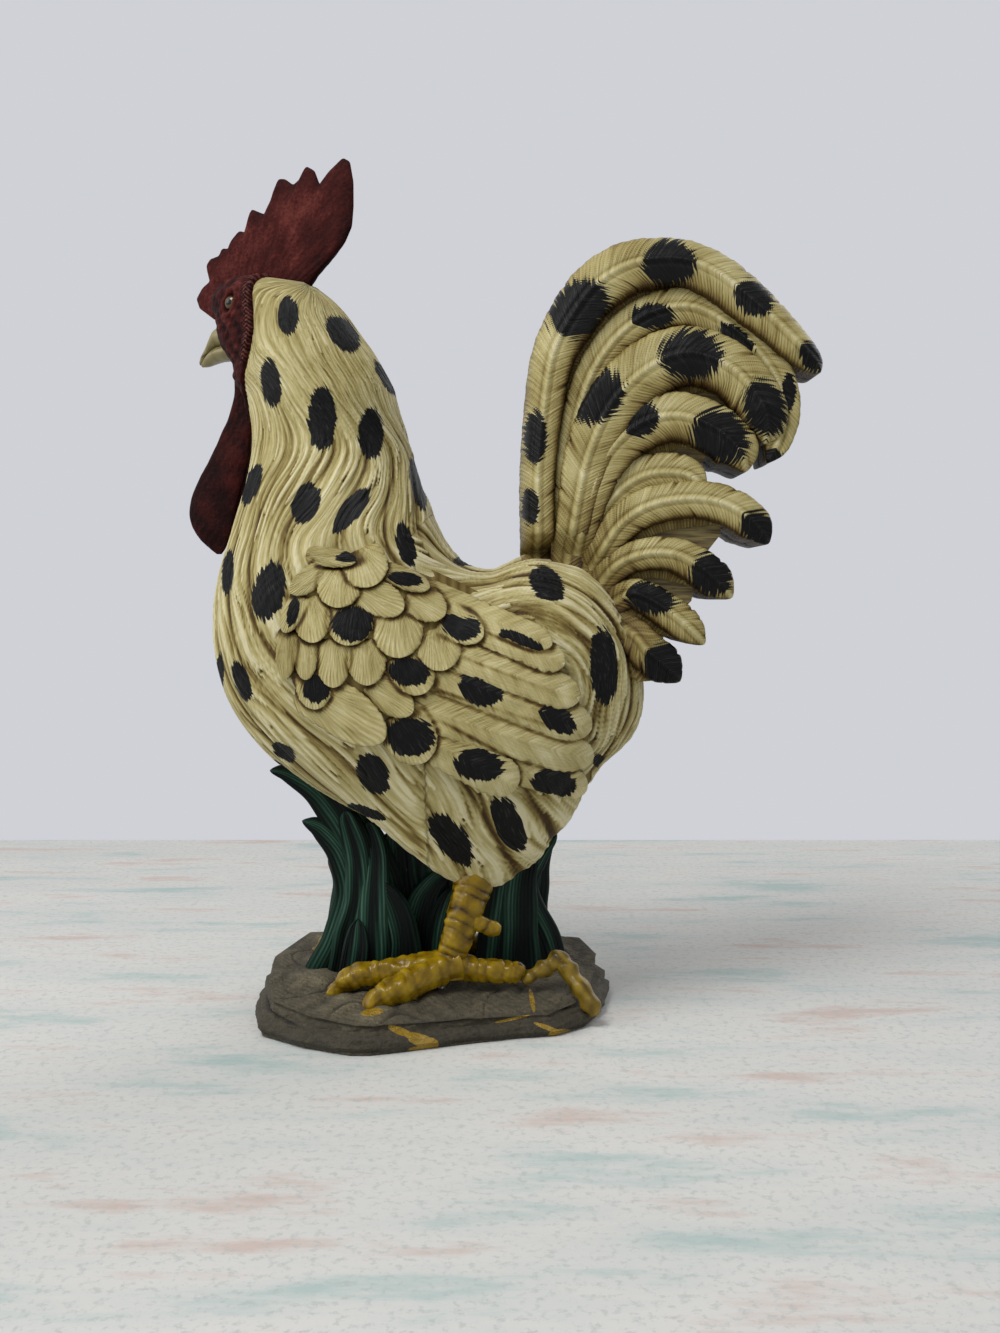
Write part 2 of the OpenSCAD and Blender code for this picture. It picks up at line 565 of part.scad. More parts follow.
// Tail feathers: curved blades over the core. Each row: place in shares of tail_h, half width share
feather_shares = [
  [[-0.14, -0.04, 0.62], [-0.14, 0.10, 0.64], [-0.14, 0.29, 0.66], [-0.12, 0.51, 0.73],
    [-0.09, 0.68, 0.82],
    [-0.03, 0.80, 0.95], [0.05, 0.905, 1.03], [0.15, 0.97, 1.05], [0.25, 0.99, 1.0], [0.35, 0.985, 0.96],
    [0.45, 0.94, 0.97], [0.54, 0.87, 0.95], [0.63, 0.79, 0.84], [0.70, 0.72, 0.72], [0.76, 0.66, 0.5],
    [0.79, 0.625, 0.2]],
  [[-0.06, 0.0, 0.45], [-0.03, 0.36, 0.55], [0.02, 0.58, 0.62], [0.11, 0.73, 0.68],
    [0.23, 0.82, 0.74], [0.37, 0.84, 0.77],
    [0.50, 0.77, 0.81], [0.59, 0.68, 0.81], [0.645, 0.59, 0.74], [0.66, 0.49, 0.68],
    [0.64, 0.39, 0.5], [0.61, 0.33, 0.2]],
  [[-0.05, -0.02, 0.55], [-0.01, 0.21, 0.74], [0.03, 0.37, 0.93], [0.11, 0.53, 1.05], [0.23, 0.64, 1.14],
    [0.36, 0.68, 1.12], [0.49, 0.63, 1.05], [0.57, 0.54, 1.0], [0.605, 0.46, 0.85], [0.60, 0.39, 0.4]],
  [[-0.03, -0.04, 0.45], [0.03, 0.22, 0.74], [0.09, 0.36, 0.93], [0.19, 0.45, 0.98],
    [0.31, 0.48, 0.95], [0.43, 0.44, 0.97],
    [0.51, 0.37, 0.88], [0.54, 0.30, 0.4]],
  [[-0.01, -0.05, 0.4], [0.05, 0.13, 0.60], [0.12, 0.23, 0.72], [0.22, 0.29, 0.78],
    [0.34, 0.29, 0.72], [0.41, 0.24, 0.3]],
  [[0.0, -0.07, 0.4], [0.06, 0.03, 0.56], [0.13, 0.13, 0.68], [0.23, 0.19, 0.72], [0.36, 0.21, 0.70],
    [0.47, 0.19, 0.74],
    [0.56, 0.13, 0.70], [0.61, 0.065, 0.35]],
  [[0.03, -0.11, 0.4], [0.11, -0.01, 0.56], [0.20, 0.03, 0.60], [0.30, 0.03, 0.64],
    [0.38, -0.01, 0.72], [0.44, -0.06, 0.70],
    [0.49, -0.11, 0.35]],
  [[0.06, -0.16, 0.4], [0.15, -0.10, 0.56], [0.21, -0.11, 0.62], [0.29, -0.16, 0.66],
    [0.35, -0.21, 0.60], [0.40, -0.26, 0.3]],
  [[0.08, -0.18, 0.4], [0.16, -0.22, 0.62], [0.21, -0.28, 0.74], [0.27, -0.33, 0.74], [0.32, -0.38, 0.35]]
];
// How far each feather stands out from the core, in shares of feather_t
feather_lift_shares = [0.95, 0.4, 1.0, 0.85, 0.5, 0.8, 0.85, 0.8, 0.8];
// How thick each feather's tip is, in shares of the thickness behind it
feather_tip_shares = [0.55, 0.55, 0.6, 0.7, 1.0, 0.6, 0.6, 0.6, 0.6];
// Cross-section from the upper edge over the face to the lower edge: half width share, thickness share, core share
blade_section_shares = [[1, 0.4, 1], [0.6, 0.75, 1], [0.1, 1, 1], [-0.4, 1, 1], [-0.85, 0.85, 1],
  [-1, 0.5, 1]];
crest_section_shares = [[1, 0.1, 0.0], [0.9, 0.4, 0.4], [0.6, 0.75, 0.9], [0.1, 1, 1], [-0.5, 1, 1],
  [-1, 0.6, 1]];
// A feather whose root lies below this share lies on the rump
low_feather_share = -0.15;
function feather_place(i, k) =
  tail_place(feather_shares[i][k], feather_shares[i][0].y < low_feather_share);
function feather_ring(i, k, reach) =
  let(last = len(feather_shares[i]) - 1,
    p = feather_place(i, k),
    along = feather_place(i, min(k + 1, last)) - feather_place(i, max(k - 1, 0)),
    up = [-along.y, along.x] / norm(along),
    w = feather_half_w * feather_shares[i][k][2],
    tip = feather_tip_shares[i],
    thin = k == last ? tip : k == last - 1 ? 0.65 + 0.35 * tip : 1,
    t = feather_t * feather_lift_shares[i],
    face_side = [for (s = i == 0 ? crest_section_shares : blade_section_shares)
      let(q = p + up * (s.x * w)) [q.x, -thin * (core_half(q.y) * s.z + s.y * t), q.y]],
    low = p - up * w,
    high = p + up * (w * reach))
  concat(
    reach > 1 ? [[high.x, -core_root_t, high.y], [low.x, -core_root_t, low.y]] : face_side,
    [[low.x, reach > 1 ? 0 : -seat_gap / 2, low.y], [high.x, reach > 1 ? 0 : -seat_gap / 2, high.y]]
  );
function feather_rings(i, side, reach) =
  [for (k = [0:len(feather_shares[i]) - 1])
    let(r = feather_ring(i, k, reach)) side < 0 ? r : mirrored(r)];
// The feathers lie like tiles: each one is cut away where those before it cover it
cover_of = [[], [0], [0], [2], [3], [3], [5], [6], [7]];
plain_cover_of = [[], [2], [], [], [], [4], [], [], []];
cover_reach_share = 2.6;
module feather(i, side) color(cream) difference() {
  loft(feather_rings(i, side, 1));
  core_plate();
  for (j = cover_of[i]) loft(feather_rings(j, side, cover_reach_share));
  for (j = plain_cover_of[i]) loft(feather_rings(j, side, 1));
  torso_skin();
}
module left_top_sickle() feather(0, -1);
module left_inner_sickle() feather(1, -1);
module left_second_sickle() feather(2, -1);
module left_third_sickle() feather(3, -1);
module left_fourth_sickle() feather(4, -1);
module left_upper_covert() feather(5, -1);
module left_middle_covert() feather(6, -1);
module left_lower_covert() feather(7, -1);
module left_root_covert() feather(8, -1);
module right_top_sickle() feather(0, 1);
module right_inner_sickle() feather(1, 1);
module right_second_sickle() feather(2, 1);
module right_third_sickle() feather(3, 1);
module right_fourth_sickle() feather(4, 1);
module right_upper_covert() feather(5, 1);
module right_middle_covert() feather(6, 1);
module right_lower_covert() feather(7, 1);
module right_root_covert() feather(8, 1);

// A round tube through points, each [x, y, z, radius]
function tube_ring(rows, k, sides) =
  let(a = rows[max(k - 1, 0)],
    b = rows[min(k + 1, len(rows) - 1)],
    along = [b.x - a.x, b.y - a.y, b.z - a.z],
    across = cross(along, [0, 1, 0.05]) / norm(cross(along, [0, 1, 0.05])),
    up = cross(across, along) / norm(along),
    c = [rows[k].x, rows[k].y, rows[k].z])
  [for (j = [0:sides - 1]) c + rows[k][3] * (across * cos(360 * j / sides) + up * sin(360 * j / sides))];
module tube(rows, sides) loft([for (k = [0:len(rows) - 1]) tube_ring(rows, k, sides)]);

// Legs. The shank's axis runs from the ankle to the knee feathers
ankle_x = 7;
shank_forward = 11.5;
ankle = [ankle_x, -leg_half_gap, base_h + toe_d * 0.8];
knee = [ankle_x + shank_forward, -leg_half_gap, ankle.z + leg_rise * 1.05];
shank_along = (knee - ankle) / norm(knee - ankle);
shank_lean = atan2(knee.x - ankle.x, knee.z - ankle.z);
shank_sunk = 6;
shank_spread_share = 1.35;
// The toes spread sideways with the depth of the rock that they grip
foot_spread_share = 0.095;
foot_spread = foot_spread_share * base_depth;
function foot_row(dx, dy, dz, share) =
  [ankle.x + dx * toe_d, ankle.y + dy * foot_spread, base_h + dz * toe_d, share * toe_d];
// Toes as rows of shares of toe_d from the ankle, with their radius shares
toe_shares = [
  [[0.2, 0, 0.75, 0.62], [-0.7, -0.5, 0.50, 0.56], [-1.5, -0.95, 0.22, 0.56], [-2.1, -1.2, 0.0, 0.52],
    [-2.6, -1.4, -0.3, 0.36],
    [-2.85, -1.5, -0.6, 0.15]],
  [[0.2, 0, 0.8, 0.6], [-1.0, -0.1, 0.62, 0.53], [-2.2, -0.2, 0.52, 0.48], [-3.2, -0.3, 0.36, 0.47],
    [-3.8, -0.35, 0.02, 0.32],
    [-4.1, -0.38, -0.35, 0.13]],
  [[0.1, 0, 0.7, 0.55], [-0.6, 0.3, 0.5, 0.5], [-1.2, 0.5, 0.35, 0.42], [-1.75, 0.62, 0.1, 0.3],
    [-1.95, 0.65, -0.1, 0.15]],
  [[-0.3, 0, 0.7, 0.55], [0.9, 0, 0.55, 0.46], [1.8, 0.05, 0.46, 0.42], [2.35, 0.08, 0.42, 0.36],
    [2.55, 0.1, 0.35, 0.15]]
];
spur_shares = [[0.5, 0, 2.35, 0.36], [1.1, 0, 2.1, 0.34], [1.5, 0, 1.9, 0.26], [1.7, 0, 1.75, 0.12]];
module shank() tube([
  [ankle.x, ankle.y, ankle.z - toe_d / 2, shank_d * 0.55],
  [ankle.x, ankle.y, ankle.z, shank_d * 0.5],
  each [for (u = [0.35, 0.7])
    let(p = ankle + (knee - ankle) * u)
    [p.x, p.y, p.z, shank_d / 2 * (1 + (shank_spread_share - 1) * u)]],
  [knee.x, knee.y, knee.z, shank_d / 2 * shank_spread_share]
], 12);
module leg_solid() union() {
  shank();
  for (toe = toe_shares) tube([for (r = toe) foot_row(r[0], r[1], r[2], r[3])], 8);
  tube([for (r = spur_shares) foot_row(r[0], r[1], r[2], r[3])], 8);
}
module rod_cylinder(above, grow) translate(ankle) rotate([0, shank_lean, 0])
  translate([0, 0, -rod_below - grow])
    cylinder(h = rod_below + norm(knee - ankle) + above + 2 * grow, d = rod_d + 2 * grow, $fn = 32);
rod_clear = 0.05;
module on_right() translate([-right_foot_ahead, 0, 0]) mirror([0, 1, 0]) children();
module left_rod_hole(above) rod_cylinder(above, rod_clear);
module right_rod_hole(above) on_right() rod_cylinder(above, rod_clear);
module left_shank_top(grow) translate(knee - shank_along * (2 * shank_sunk)) rotate([0, shank_lean, 0])
  cylinder(h = 2 * shank_sunk + grow, r = shank_d / 2 * shank_spread_share + grow, $fn = 32);
module right_shank_top(grow) on_right() left_shank_top(grow);
module left_leg() color(yellow) difference() {
  leg_solid();
  rock_skin();
  rod_cylinder(rod_above, rod_clear);
}
module right_leg() color(yellow) difference() {
  on_right() leg_solid();
  rock_skin();
  on_right() rod_cylinder(rod_above, rod_clear);
}
module left_leg_rod() color("silver") rod_cylinder(rod_above, 0);
module right_leg_rod() color("silver") on_right() rod_cylinder(rod_above, 0);

// Rock: rings of the same rough outline. Corners in shares of half the length and half the depth
rock_corner_shares = [
  [-0.97, -0.34], [-0.90, -0.65], [-0.65, -0.88], [-0.40, -1.02], [-0.29, -1.02], [-0.12, -0.95],
  [0.11, -0.84],
  [0.47, -0.69], [0.68, -0.64], [0.85, -0.45], [0.95, -0.16], [1.02, 0.36], [0.92, 0.72],
  [0.57, 0.88], [0.0, 0.93],
  [-0.50, 0.94], [-0.86, 0.82], [-1.0, 0.14]
];
// Height of the rock's upper edge above each corner, in shares of base_h
rock_edge_shares = [
  1.05, 0.85, 0.70, 0.65, 0.62, 0.60, 0.56, 0.50, 0.48, 0.58, 0.75, 1.05, 1.20, 1.15, 1.15, 1.20, 1.25,
    1.20
];
// Rings from the foot of the rock to its middle: outline share, how much of the edge height, then of base_h
rock_ring_shares = [
  [0.97, 0.0, 0.0], [1.0, 0.25, 0.0], [0.985, 0.55, 0.0], [0.95, 0.64, 0.0], [0.93, 1.0, 0.0],
  [0.62, 0.3, 0.7], [0.3, 0.0, 1.0]
];
rock_floor = felt_proud;
function rock_ring(r) = [for (i = [0:len(rock_corner_shares) - 1])
  let(c = rock_corner_shares[i], e = rock_edge_shares[i])
  [c.x * r[0] * base_len / 2, c.y * r[0] * base_depth / 2, rock_floor + (base_h - rock_floor)
    * (e * r[1] + r[2])]];
module rock_skin() loft([for (r = rock_ring_shares) rock_ring(r)]);
felt_share = 0.86;
module felt_plate(grow) linear_extrude(height = felt_t + grow)
  polygon([for (c = rock_corner_shares) [c.x * felt_share * base_len / 2,
    c.y * felt_share * base_depth / 2]]);
module felt_sheet() color("darkgreen") felt_plate(0);
module rock_base() color(grey) difference() {
  rock_skin();
  translate([0, 0, -cut]) felt_plate(cut);
  left_rod_hole(0);
  right_rod_hole(0);
}

// Yellow root: a knobbly strand over the rear edge of the rock, in shares of toe_d from its upper end
root_start_shares = [0.35, -0.12];
root_start = [root_start_shares.x * base_len, root_start_shares.y * base_depth, base_h];
root_shares = [
  [-1.35, -0.6, 0.1, 0.2], [-0.7, -0.45, 0.42, 0.28], [-0.05, -0.2, 0.72, 0.36], [0.25, -0.45, 0.4, 0.36],
  [0.62, -0.75, -0.05, 0.36], [0.98, -1.0, -0.6, 0.34], [1.12, -1.1, -0.95, 0.2]
];
module yellow_root() color("goldenrod") difference() {
  tube([for (r = root_shares)
    [root_start.x + r[0] * toe_d, root_start.y + r[1] * toe_d, root_start.z + r[2] * toe_d,
      r[3] * toe_d]], 8);
  rock_skin();
}

// Leaves. Each row: place in shares of clump_h from the clump's foot, half width share of leaf_half_w
front_foot_shares = [-0.22, 0.026];
front_foot = [front_foot_shares.x * base_len, front_foot_shares.y * base_depth, base_h];
front_leaf_shares = [
  [[0.02, 0, -0.08, 1.6], [0.04, 0, 0.15, 1.3], [0.05, 0, 0.38, 1.15], [-0.03, 0, 0.66, 1.1],
    [-0.18, 0, 0.88, 0.9],
    [-0.33, 0, 0.98, 0.55], [-0.43, 0, 1.0, 0.22]],
  [[-0.18, -0.02, -0.08, 1.3], [-0.09, -0.02, 0.15, 1.0], [-0.03, 0, 0.38, 0.95],
    [-0.07, 0, 0.57, 0.9], [-0.17, 0, 0.70, 0.65],
    [-0.27, 0, 0.745, 0.22]],
  [[-0.05, -0.07, -0.08, 1.2], [-0.02, -0.07, 0.15, 1.1], [0.03, -0.06, 0.38, 1.0],
    [0.02, -0.04, 0.60, 0.95], [-0.05, -0.02, 0.80, 0.6]],
  [[0.09, -0.09, -0.08, 1.3], [0.10, -0.09, 0.15, 1.2], [0.10, -0.07, 0.38, 1.0],
    [0.10, -0.04, 0.58, 0.8], [0.06, -0.02, 0.74, 0.5]],
  [[0.23, -0.08, -0.08, 1.2], [0.235, -0.08, 0.15, 1.15], [0.18, -0.08, 0.34, 0.95],
    [0.10, -0.07, 0.46, 0.4]],
  [[-0.02, -0.14, -0.08, 0.8], [0.01, -0.13, 0.12, 0.8], [0.02, -0.11, 0.27, 0.35]],
  [[0.08, 0.10, -0.08, 1.6], [0.07, 0.10, 0.2, 1.4], [0.03, 0.08, 0.45, 1.2],
    [-0.05, 0.05, 0.72, 1.1], [-0.14, 0.03, 0.90, 0.5]],
  [[-0.14, 0.09, -0.08, 1.2], [-0.08, 0.10, 0.2, 1.0], [-0.06, 0.11, 0.40, 0.9], [-0.14, 0.13, 0.56, 0.4]]
];
middle_foot_shares = [-0.02, 0.052];
middle_foot = [middle_foot_shares.x * base_len, middle_foot_shares.y * base_depth, base_h];
middle_leaf_shares = [
  [[-0.06, 0, -0.08, 1.0], [-0.05, 0, 0.15, 1.0], [-0.02, 0, 0.33, 0.9], [0.05, 0, 0.44, 0.6],
    [0.12, 0, 0.48, 0.25]],
  [[0.05, -0.03, -0.08, 1.0], [0.06, -0.03, 0.15, 0.95], [0.09, -0.02, 0.30, 0.7],
    [0.13, -0.01, 0.40, 0.3]],
  [[0.02, 0.07, -0.08, 1.6], [0.0, 0.07, 0.2, 1.5], [-0.02, 0.07, 0.40, 1.2], [0.0, 0.06, 0.55, 0.6]]
];
rear_foot_shares = [0.27, 0.052];
rear_foot = [rear_foot_shares.x * base_len, rear_foot_shares.y * base_depth, base_h];
rear_leaf_shares = [
  [[0.13, -0.02, -0.08, 1.0], [0.07, -0.01, 0.15, 0.95], [-0.03, 0, 0.38, 0.85], [0.02, 0, 0.55, 0.8],
    [0.13, 0.02, 0.68, 0.35]],
  [[-0.04, -0.06, -0.08, 1.2], [-0.05, -0.05, 0.2, 1.1], [-0.05, -0.03, 0.45, 1.0], [0.0, 0, 0.66, 0.7]],
  [[-0.19, -0.03, -0.08, 1.2], [-0.17, -0.03, 0.2, 1.1], [-0.14, -0.02, 0.42, 1.0],
    [-0.10, 0, 0.60, 0.7]],
  [[0.0, 0.09, -0.08, 1.5], [-0.02, 0.08, 0.2, 1.4], [0.0, 0.06, 0.45, 1.2], [0.06, 0.05, 0.68, 0.8]]
];
function leaf_ring(foot, rows, k) =
  let(a = rows[max(k - 1, 0)],
    b = rows[min(k + 1, len(rows) - 1)],
    along = [b.x - a.x, b.z - a.z] / norm([b.x - a.x, b.z - a.z]),
    c = foot + clump_h * [rows[k].x, rows[k].y, rows[k].z],
    w = leaf_half_w * rows[k][3])
  [for (t = [0:45:315])
    let(u = w * cos(t)) [c.x - along.y * u, c.y + leaf_t / 2 * min(1, rows[k][3] + 0.2) * sin(t),
      c.z + along.x * u]];
module leaves(foot, table) color(green) difference() {
  union() for (rows = table) loft([for (k = [0:len(rows) - 1]) leaf_ring(foot, rows, k)]);
  rock_skin();
  torso_skin();
}
module front_leaf_clump() leaves(front_foot, front_leaf_shares);
module middle_leaf_clump() leaves(middle_foot, middle_leaf_shares);
module rear_leaf_clump() leaves(rear_foot, rear_leaf_shares);

felt_sheet();
rock_base();
yellow_root();
front_leaf_clump();
middle_leaf_clump();
rear_leaf_clump();
left_leg();
right_leg();
left_leg_rod();
right_leg_rod();
torso();
neck_and_head();
face();
comb();
upper_beak();
lower_beak();
left_eye();
right_eye();
left_wattle();
right_wattle();
left_wing();
right_wing();
tail_core();
left_top_sickle();
left_inner_sickle();
left_second_sickle();
left_third_sickle();
left_fourth_sickle();
left_upper_covert();
left_middle_covert();
left_lower_covert();
left_root_covert();
right_top_sickle();
right_inner_sickle();
right_second_sickle();
right_third_sickle();
right_fourth_sickle();
right_upper_covert();
right_middle_covert();
right_lower_covert();
right_root_covert();
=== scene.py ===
import bpy
import numpy as np
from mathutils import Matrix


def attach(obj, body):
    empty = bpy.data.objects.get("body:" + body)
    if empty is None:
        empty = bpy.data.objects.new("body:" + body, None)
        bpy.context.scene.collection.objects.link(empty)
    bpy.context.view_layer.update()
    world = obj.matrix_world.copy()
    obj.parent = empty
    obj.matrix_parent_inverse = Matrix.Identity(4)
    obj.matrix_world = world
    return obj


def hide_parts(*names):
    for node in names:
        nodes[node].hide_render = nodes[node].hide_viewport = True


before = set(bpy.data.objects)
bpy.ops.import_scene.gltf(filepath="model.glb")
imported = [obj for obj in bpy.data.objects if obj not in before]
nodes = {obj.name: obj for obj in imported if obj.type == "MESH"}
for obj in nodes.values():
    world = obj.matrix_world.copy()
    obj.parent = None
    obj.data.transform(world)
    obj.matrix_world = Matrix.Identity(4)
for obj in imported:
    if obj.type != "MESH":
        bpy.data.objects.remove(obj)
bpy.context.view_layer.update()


# Studio: a pale table top, a pale grey room and three soft lamps. The camera stands where the
# photograph was taken: 520 mm from the bird's middle plane, 160 mm up, looking slightly down.
def tone(code):
    """Linear colour of a six-digit sRGB code."""
    c = np.array([int(code[i : i + 2], 16) for i in (0, 2, 4)]) / 255
    return (*np.where(c < 0.04045, c / 12.92, ((c + 0.055) / 1.055) ** 2.4), 1.0)


def feed(tree, made, inputs):
    """Sets inputs of a shader node, each to a value or by a link from an output."""
    for key, value in dict(inputs).items():
        if isinstance(value, bpy.types.NodeSocket):
            tree.links.new(value, made.inputs[key])
        else:
            made.inputs[key].default_value = value
    return made


def node(tree, kind, inputs=(), **settings):
    """Adds a shader node with its settings and inputs."""
    made = tree.nodes.new("ShaderNode" + kind)
    for key, value in settings.items():
        setattr(made, key, value)
    return feed(tree, made, inputs)


class Paint:
    """A material under way. Each method adds nodes and hands back the last one's output."""

    def __init__(self, name):
        self.made = bpy.data.materials.new(name)
        self.made.use_nodes = True
        self.tree = self.made.node_tree

    def noise(self, scale, detail, roughness=0.5, uv="", turn=0.0, distortion=0.0):
        """Noise on the object's coordinates or on a UV map; three scales stretch it, a turn leans it about Y."""
        at = node(self.tree, "TexCoord").outputs["Object"]
        if uv:
            at = node(self.tree, "UVMap", uv_map=uv).outputs[0]
        if np.ndim(scale):
            at = node(self.tree, "Mapping", {"Vector": at, "Rotation": (0, turn, 0), "Scale": scale}).outputs[0]
            scale = 1.0
        look = {"Scale": scale, "Detail": detail, "Roughness": roughness, "Distortion": distortion}
        return node(self.tree, "TexNoise", {"Vector": at, **look}).outputs["Fac"]

    def held(self, name):
        """A value that the mesh holds at its points."""
        return node(self.tree, "Attribute", attribute_name=name).outputs["Fac"]

    def summed(self, base, *parts):
        """A base with shares of other values added to it."""
        for value, share in parts:
            base = node(self.tree, "Math", {0: value, 1: share, 2: base}, operation="MULTIPLY_ADD").outputs[0]
        return base

    def times(self, value, share):
        """Two values multiplied."""
        return node(self.tree, "Math", {0: value, 1: share}, operation="MULTIPLY").outputs[0]

    def between(self, value, low, high, top=1.0, foot=0.0):
        """The foot up to the low value, rising evenly to the top at the high one."""
        ends = {"From Min": low, "From Max": high, "To Min": foot, "To Max": top}
        return node(self.tree, "MapRange", {"Value": value, **ends}).outputs[0]

    def ramp(self, value, *stops):
        """Colours by a value, from stops of a position and a colour code."""
        made = node(self.tree, "ValToRGB", {"Fac": value})
        bar = made.color_ramp.elements
        for element, (position, code) in zip(bar, (stops[0], stops[-1])):
            element.position, element.color = position, tone(code)
        for position, code in stops[1:-1]:
            bar.new(position).color = tone(code)
        return made.outputs[0]

    def mix(self, share, below, above):
        """One colour covered by a share of another."""
        return node(self.tree, "MixRGB", {"Fac": share, "Color1": below, "Color2": above}).outputs[0]

    def done(self, colour, roughness=0.5, specular=0.5, metallic=0.0, bumps=()):
        """Feeds the surface, each bump given as height, strength and depth in metres; hands back the material."""
        surface = {"Base Color": colour, "Roughness": roughness, "Metallic": metallic}
        surface["Specular IOR Level"] = specular
        for height, strength, depth in bumps:
            bump = node(self.tree, "Bump", {"Height": height, "Strength": strength, "Distance": depth})
            if "Normal" in surface:
                feed(self.tree, bump, {"Normal": surface["Normal"]})
            surface["Normal"] = bump.outputs[0]
        feed(self.tree, self.tree.nodes["Principled BSDF"], surface)
        return self.made


camera_at = np.array([25.8, -520.0, 160.0])
camera_dip = np.radians(2.88)
focal_px, middle_px, middle_py, sensor = 1342.0, 500.0, 666.5, 36
scene = bpy.context.scene


def added(name, data):
    """An object made of the data, linked to the scene."""
    made = bpy.data.objects.new(name, data)
    scene.collection.objects.link(made)
    return made


camera = added("camera", bpy.data.cameras.new("camera"))
camera.data.sensor_width = sensor
camera.data.lens = focal_px / (2 * middle_py) * sensor
camera.data.clip_start, camera.data.clip_end = 0.01, 20
camera.location = camera_at / 1000
camera.rotation_euler = (np.pi / 2 - camera_dip, 0, 0)
scene.camera = camera
scene.view_settings.view_transform = "Standard"


def seen_at(p):
    """Pixel of the photograph at which the camera sees points: their offset from it, turned by its dip, over
    their depth."""
    x, y, z = np.moveaxis(p - camera_at, -1, 0)
    depth = y * np.cos(camera_dip) - z * np.sin(camera_dip)
    up = y * np.sin(camera_dip) + z * np.cos(camera_dip)
    return middle_px + focal_px * x / depth, middle_py - focal_px * up / depth


def lamp(name, place, power, size):
    """A soft square lamp that looks at the bird's body."""
    made = added(name, bpy.data.lights.new(name, "AREA"))
    made.data.energy, made.data.size = power, size
    made.location = place
    look = np.array([0.02, 0, 0.15]) - place
    tilt, turn = np.arctan2(np.hypot(look[0], look[1]), -look[2]), np.arctan2(look[1], look[0]) - np.pi / 2
    made.rotation_euler = (tilt, 0, turn)


lamp("ceiling_light", (-0.45, -0.7, 1.35), 12, 0.6)
lamp("window_light", (-1.3, -0.35, 0.75), 5.5, 0.9)
lamp("room_light", (1.0, 0.9, 0.9), 4.5, 0.9)

room = bpy.data.worlds.new("room")
room.use_nodes = True
scene.world = room
sky = room.node_tree
sky.nodes.clear()
rays = node(sky, "LightPath").outputs
shown = rays["Is Camera Ray"]
for kind in ("Is Transmission Ray", "Is Glossy Ray"):
    shown = node(sky, "Math", {0: shown, 1: rays[kind]}, operation="MAXIMUM").outputs[0]
soft = node(sky, "Background", {"Color": tone("eceef2"), "Strength": 0.42})
wall = node(sky, "Background", {"Color": tone("cfd1d7"), "Strength": 1.0})
both = node(sky, "MixShader", {0: shown, 1: soft.outputs[0], 2: wall.outputs[0]})
node(sky, "OutputWorld", {"Surface": both.outputs[0]})

table_top, half_w, near_y, far_y = bpy.data.meshes.new("table_top"), 4, -3, 0.365
corners = [(-half_w, near_y, 0), (half_w, near_y, 0), (half_w, far_y, 0), (-half_w, far_y, 0)]
table_top.from_pydata(corners, [], [(0, 1, 2, 3)])
table_top = added("table_top", table_top)
board = Paint("table_paint")
worn = board.ramp(board.noise((3, 14, 1), 4), (0.35, "c8cbc8"), (0.65, "dddcd8"))
streaks = board.noise((9, 34, 1), 7, 0.65)
tint = board.ramp(streaks, (0.34, "a2bdb9"), (0.45, "d3d4d0"), (0.56, "dbd8d3"), (0.66, "cdb3a8"))
flecks = board.between(board.noise(330.0, 4, 0.7), 0.52, 0.64, 0.5)
worn = board.mix(flecks, board.mix(0.7, worn, tint), tone("aeb5b1"))
table_top.data.materials.append(board.done(worn, 0.8))


# Torso: a hollow resin casting, painted ivory with brown wash and painted shade in its grooves, a painted
# highlight on its ridges, and brushed black spots.
# Its skin is a fan of cross-sections round a line above the back. Pointed hackles are carved into it.
def clamp(v):
    """Values held between 0 and 1."""
    return np.clip(v, 0, 1)


def curve(table, x, k=1):
    """Smooth value of a table's column k at x of its first one: between two rows a cubic whose slopes are those
    of the chords across each row."""
    xs, ys = np.array(table, float)[:, [0, k]].T
    rows = np.arange(len(xs))
    before, after = np.maximum(rows - 1, 0), np.minimum(rows + 1, rows[-1])
    slope = (ys[after] - ys[before]) / (xs[after] - xs[before])
    i = np.clip(np.searchsorted(xs, x, "right") - 1, 0, rows[-1] - 1)
    h = xs[i + 1] - xs[i]
    u = clamp((x - xs[i]) / h)
    return (
        (2 * u**3 - 3 * u**2 + 1) * ys[i] + (u**3 - 2 * u**2 + u) * slope[i] * h
        + (3 * u**2 - 2 * u**3) * ys[i + 1] + (u**3 - u**2) * slope[i + 1] * h
    )


body_reach, body_half_w, thigh_drop, head_turn = 185.0, 44.0, 25.0, np.radians(25)
fan_x, fan_z, neck_x = 0.181 * body_reach, 51 + body_reach, -0.2795 * body_reach
crown_z = fan_z + 0.24 * body_reach
squareness, no_spot = 2.3, -2.0
both_sides = (("left_", -1), ("right_", 1))
fan_first, joint_angle, fan_last = -28.6, 34.0, 117.6
back_shares = [
    (-28.6, 0.475), (-27.6, 0.437), (-26, 0.402), (-23, 0.362), (-18, 0.312), (-12, 0.278), (-5, 0.256),
    (0, 0.25), (8, 0.245), (16, 0.243), (24, 0.245), (32, 0.253), (40, 0.264), (48, 0.279), (56, 0.303),
    (64, 0.332), (72, 0.352), (80, 0.351), (88, 0.326), (94, 0.315), (100, 0.317), (105, 0.327), (110, 0.343),
    (114, 0.385), (116.5, 0.46), (117.6, 0.51),
]
front_shares = [
    (-28.6, 0.50), (-27.6, 0.53), (-26, 0.582), (-23, 0.655), (-18, 0.69), (-12, 0.674), (-8, 0.632),
    (-4, 0.59), (0, 0.565), (8, 0.56), (16, 0.59), (24, 0.655), (30, 0.722), (36, 0.788), (41, 0.838),
    (47, 0.879), (54, 0.904), (60, 0.91), (66, 0.915), (72, 0.917), (80, 0.91), (88, 0.90), (94, 0.87),
    (98, 0.832), (102, 0.78), (106, 0.757), (110, 0.722), (113, 0.665), (115.5, 0.59), (117.6, 0.53),
]
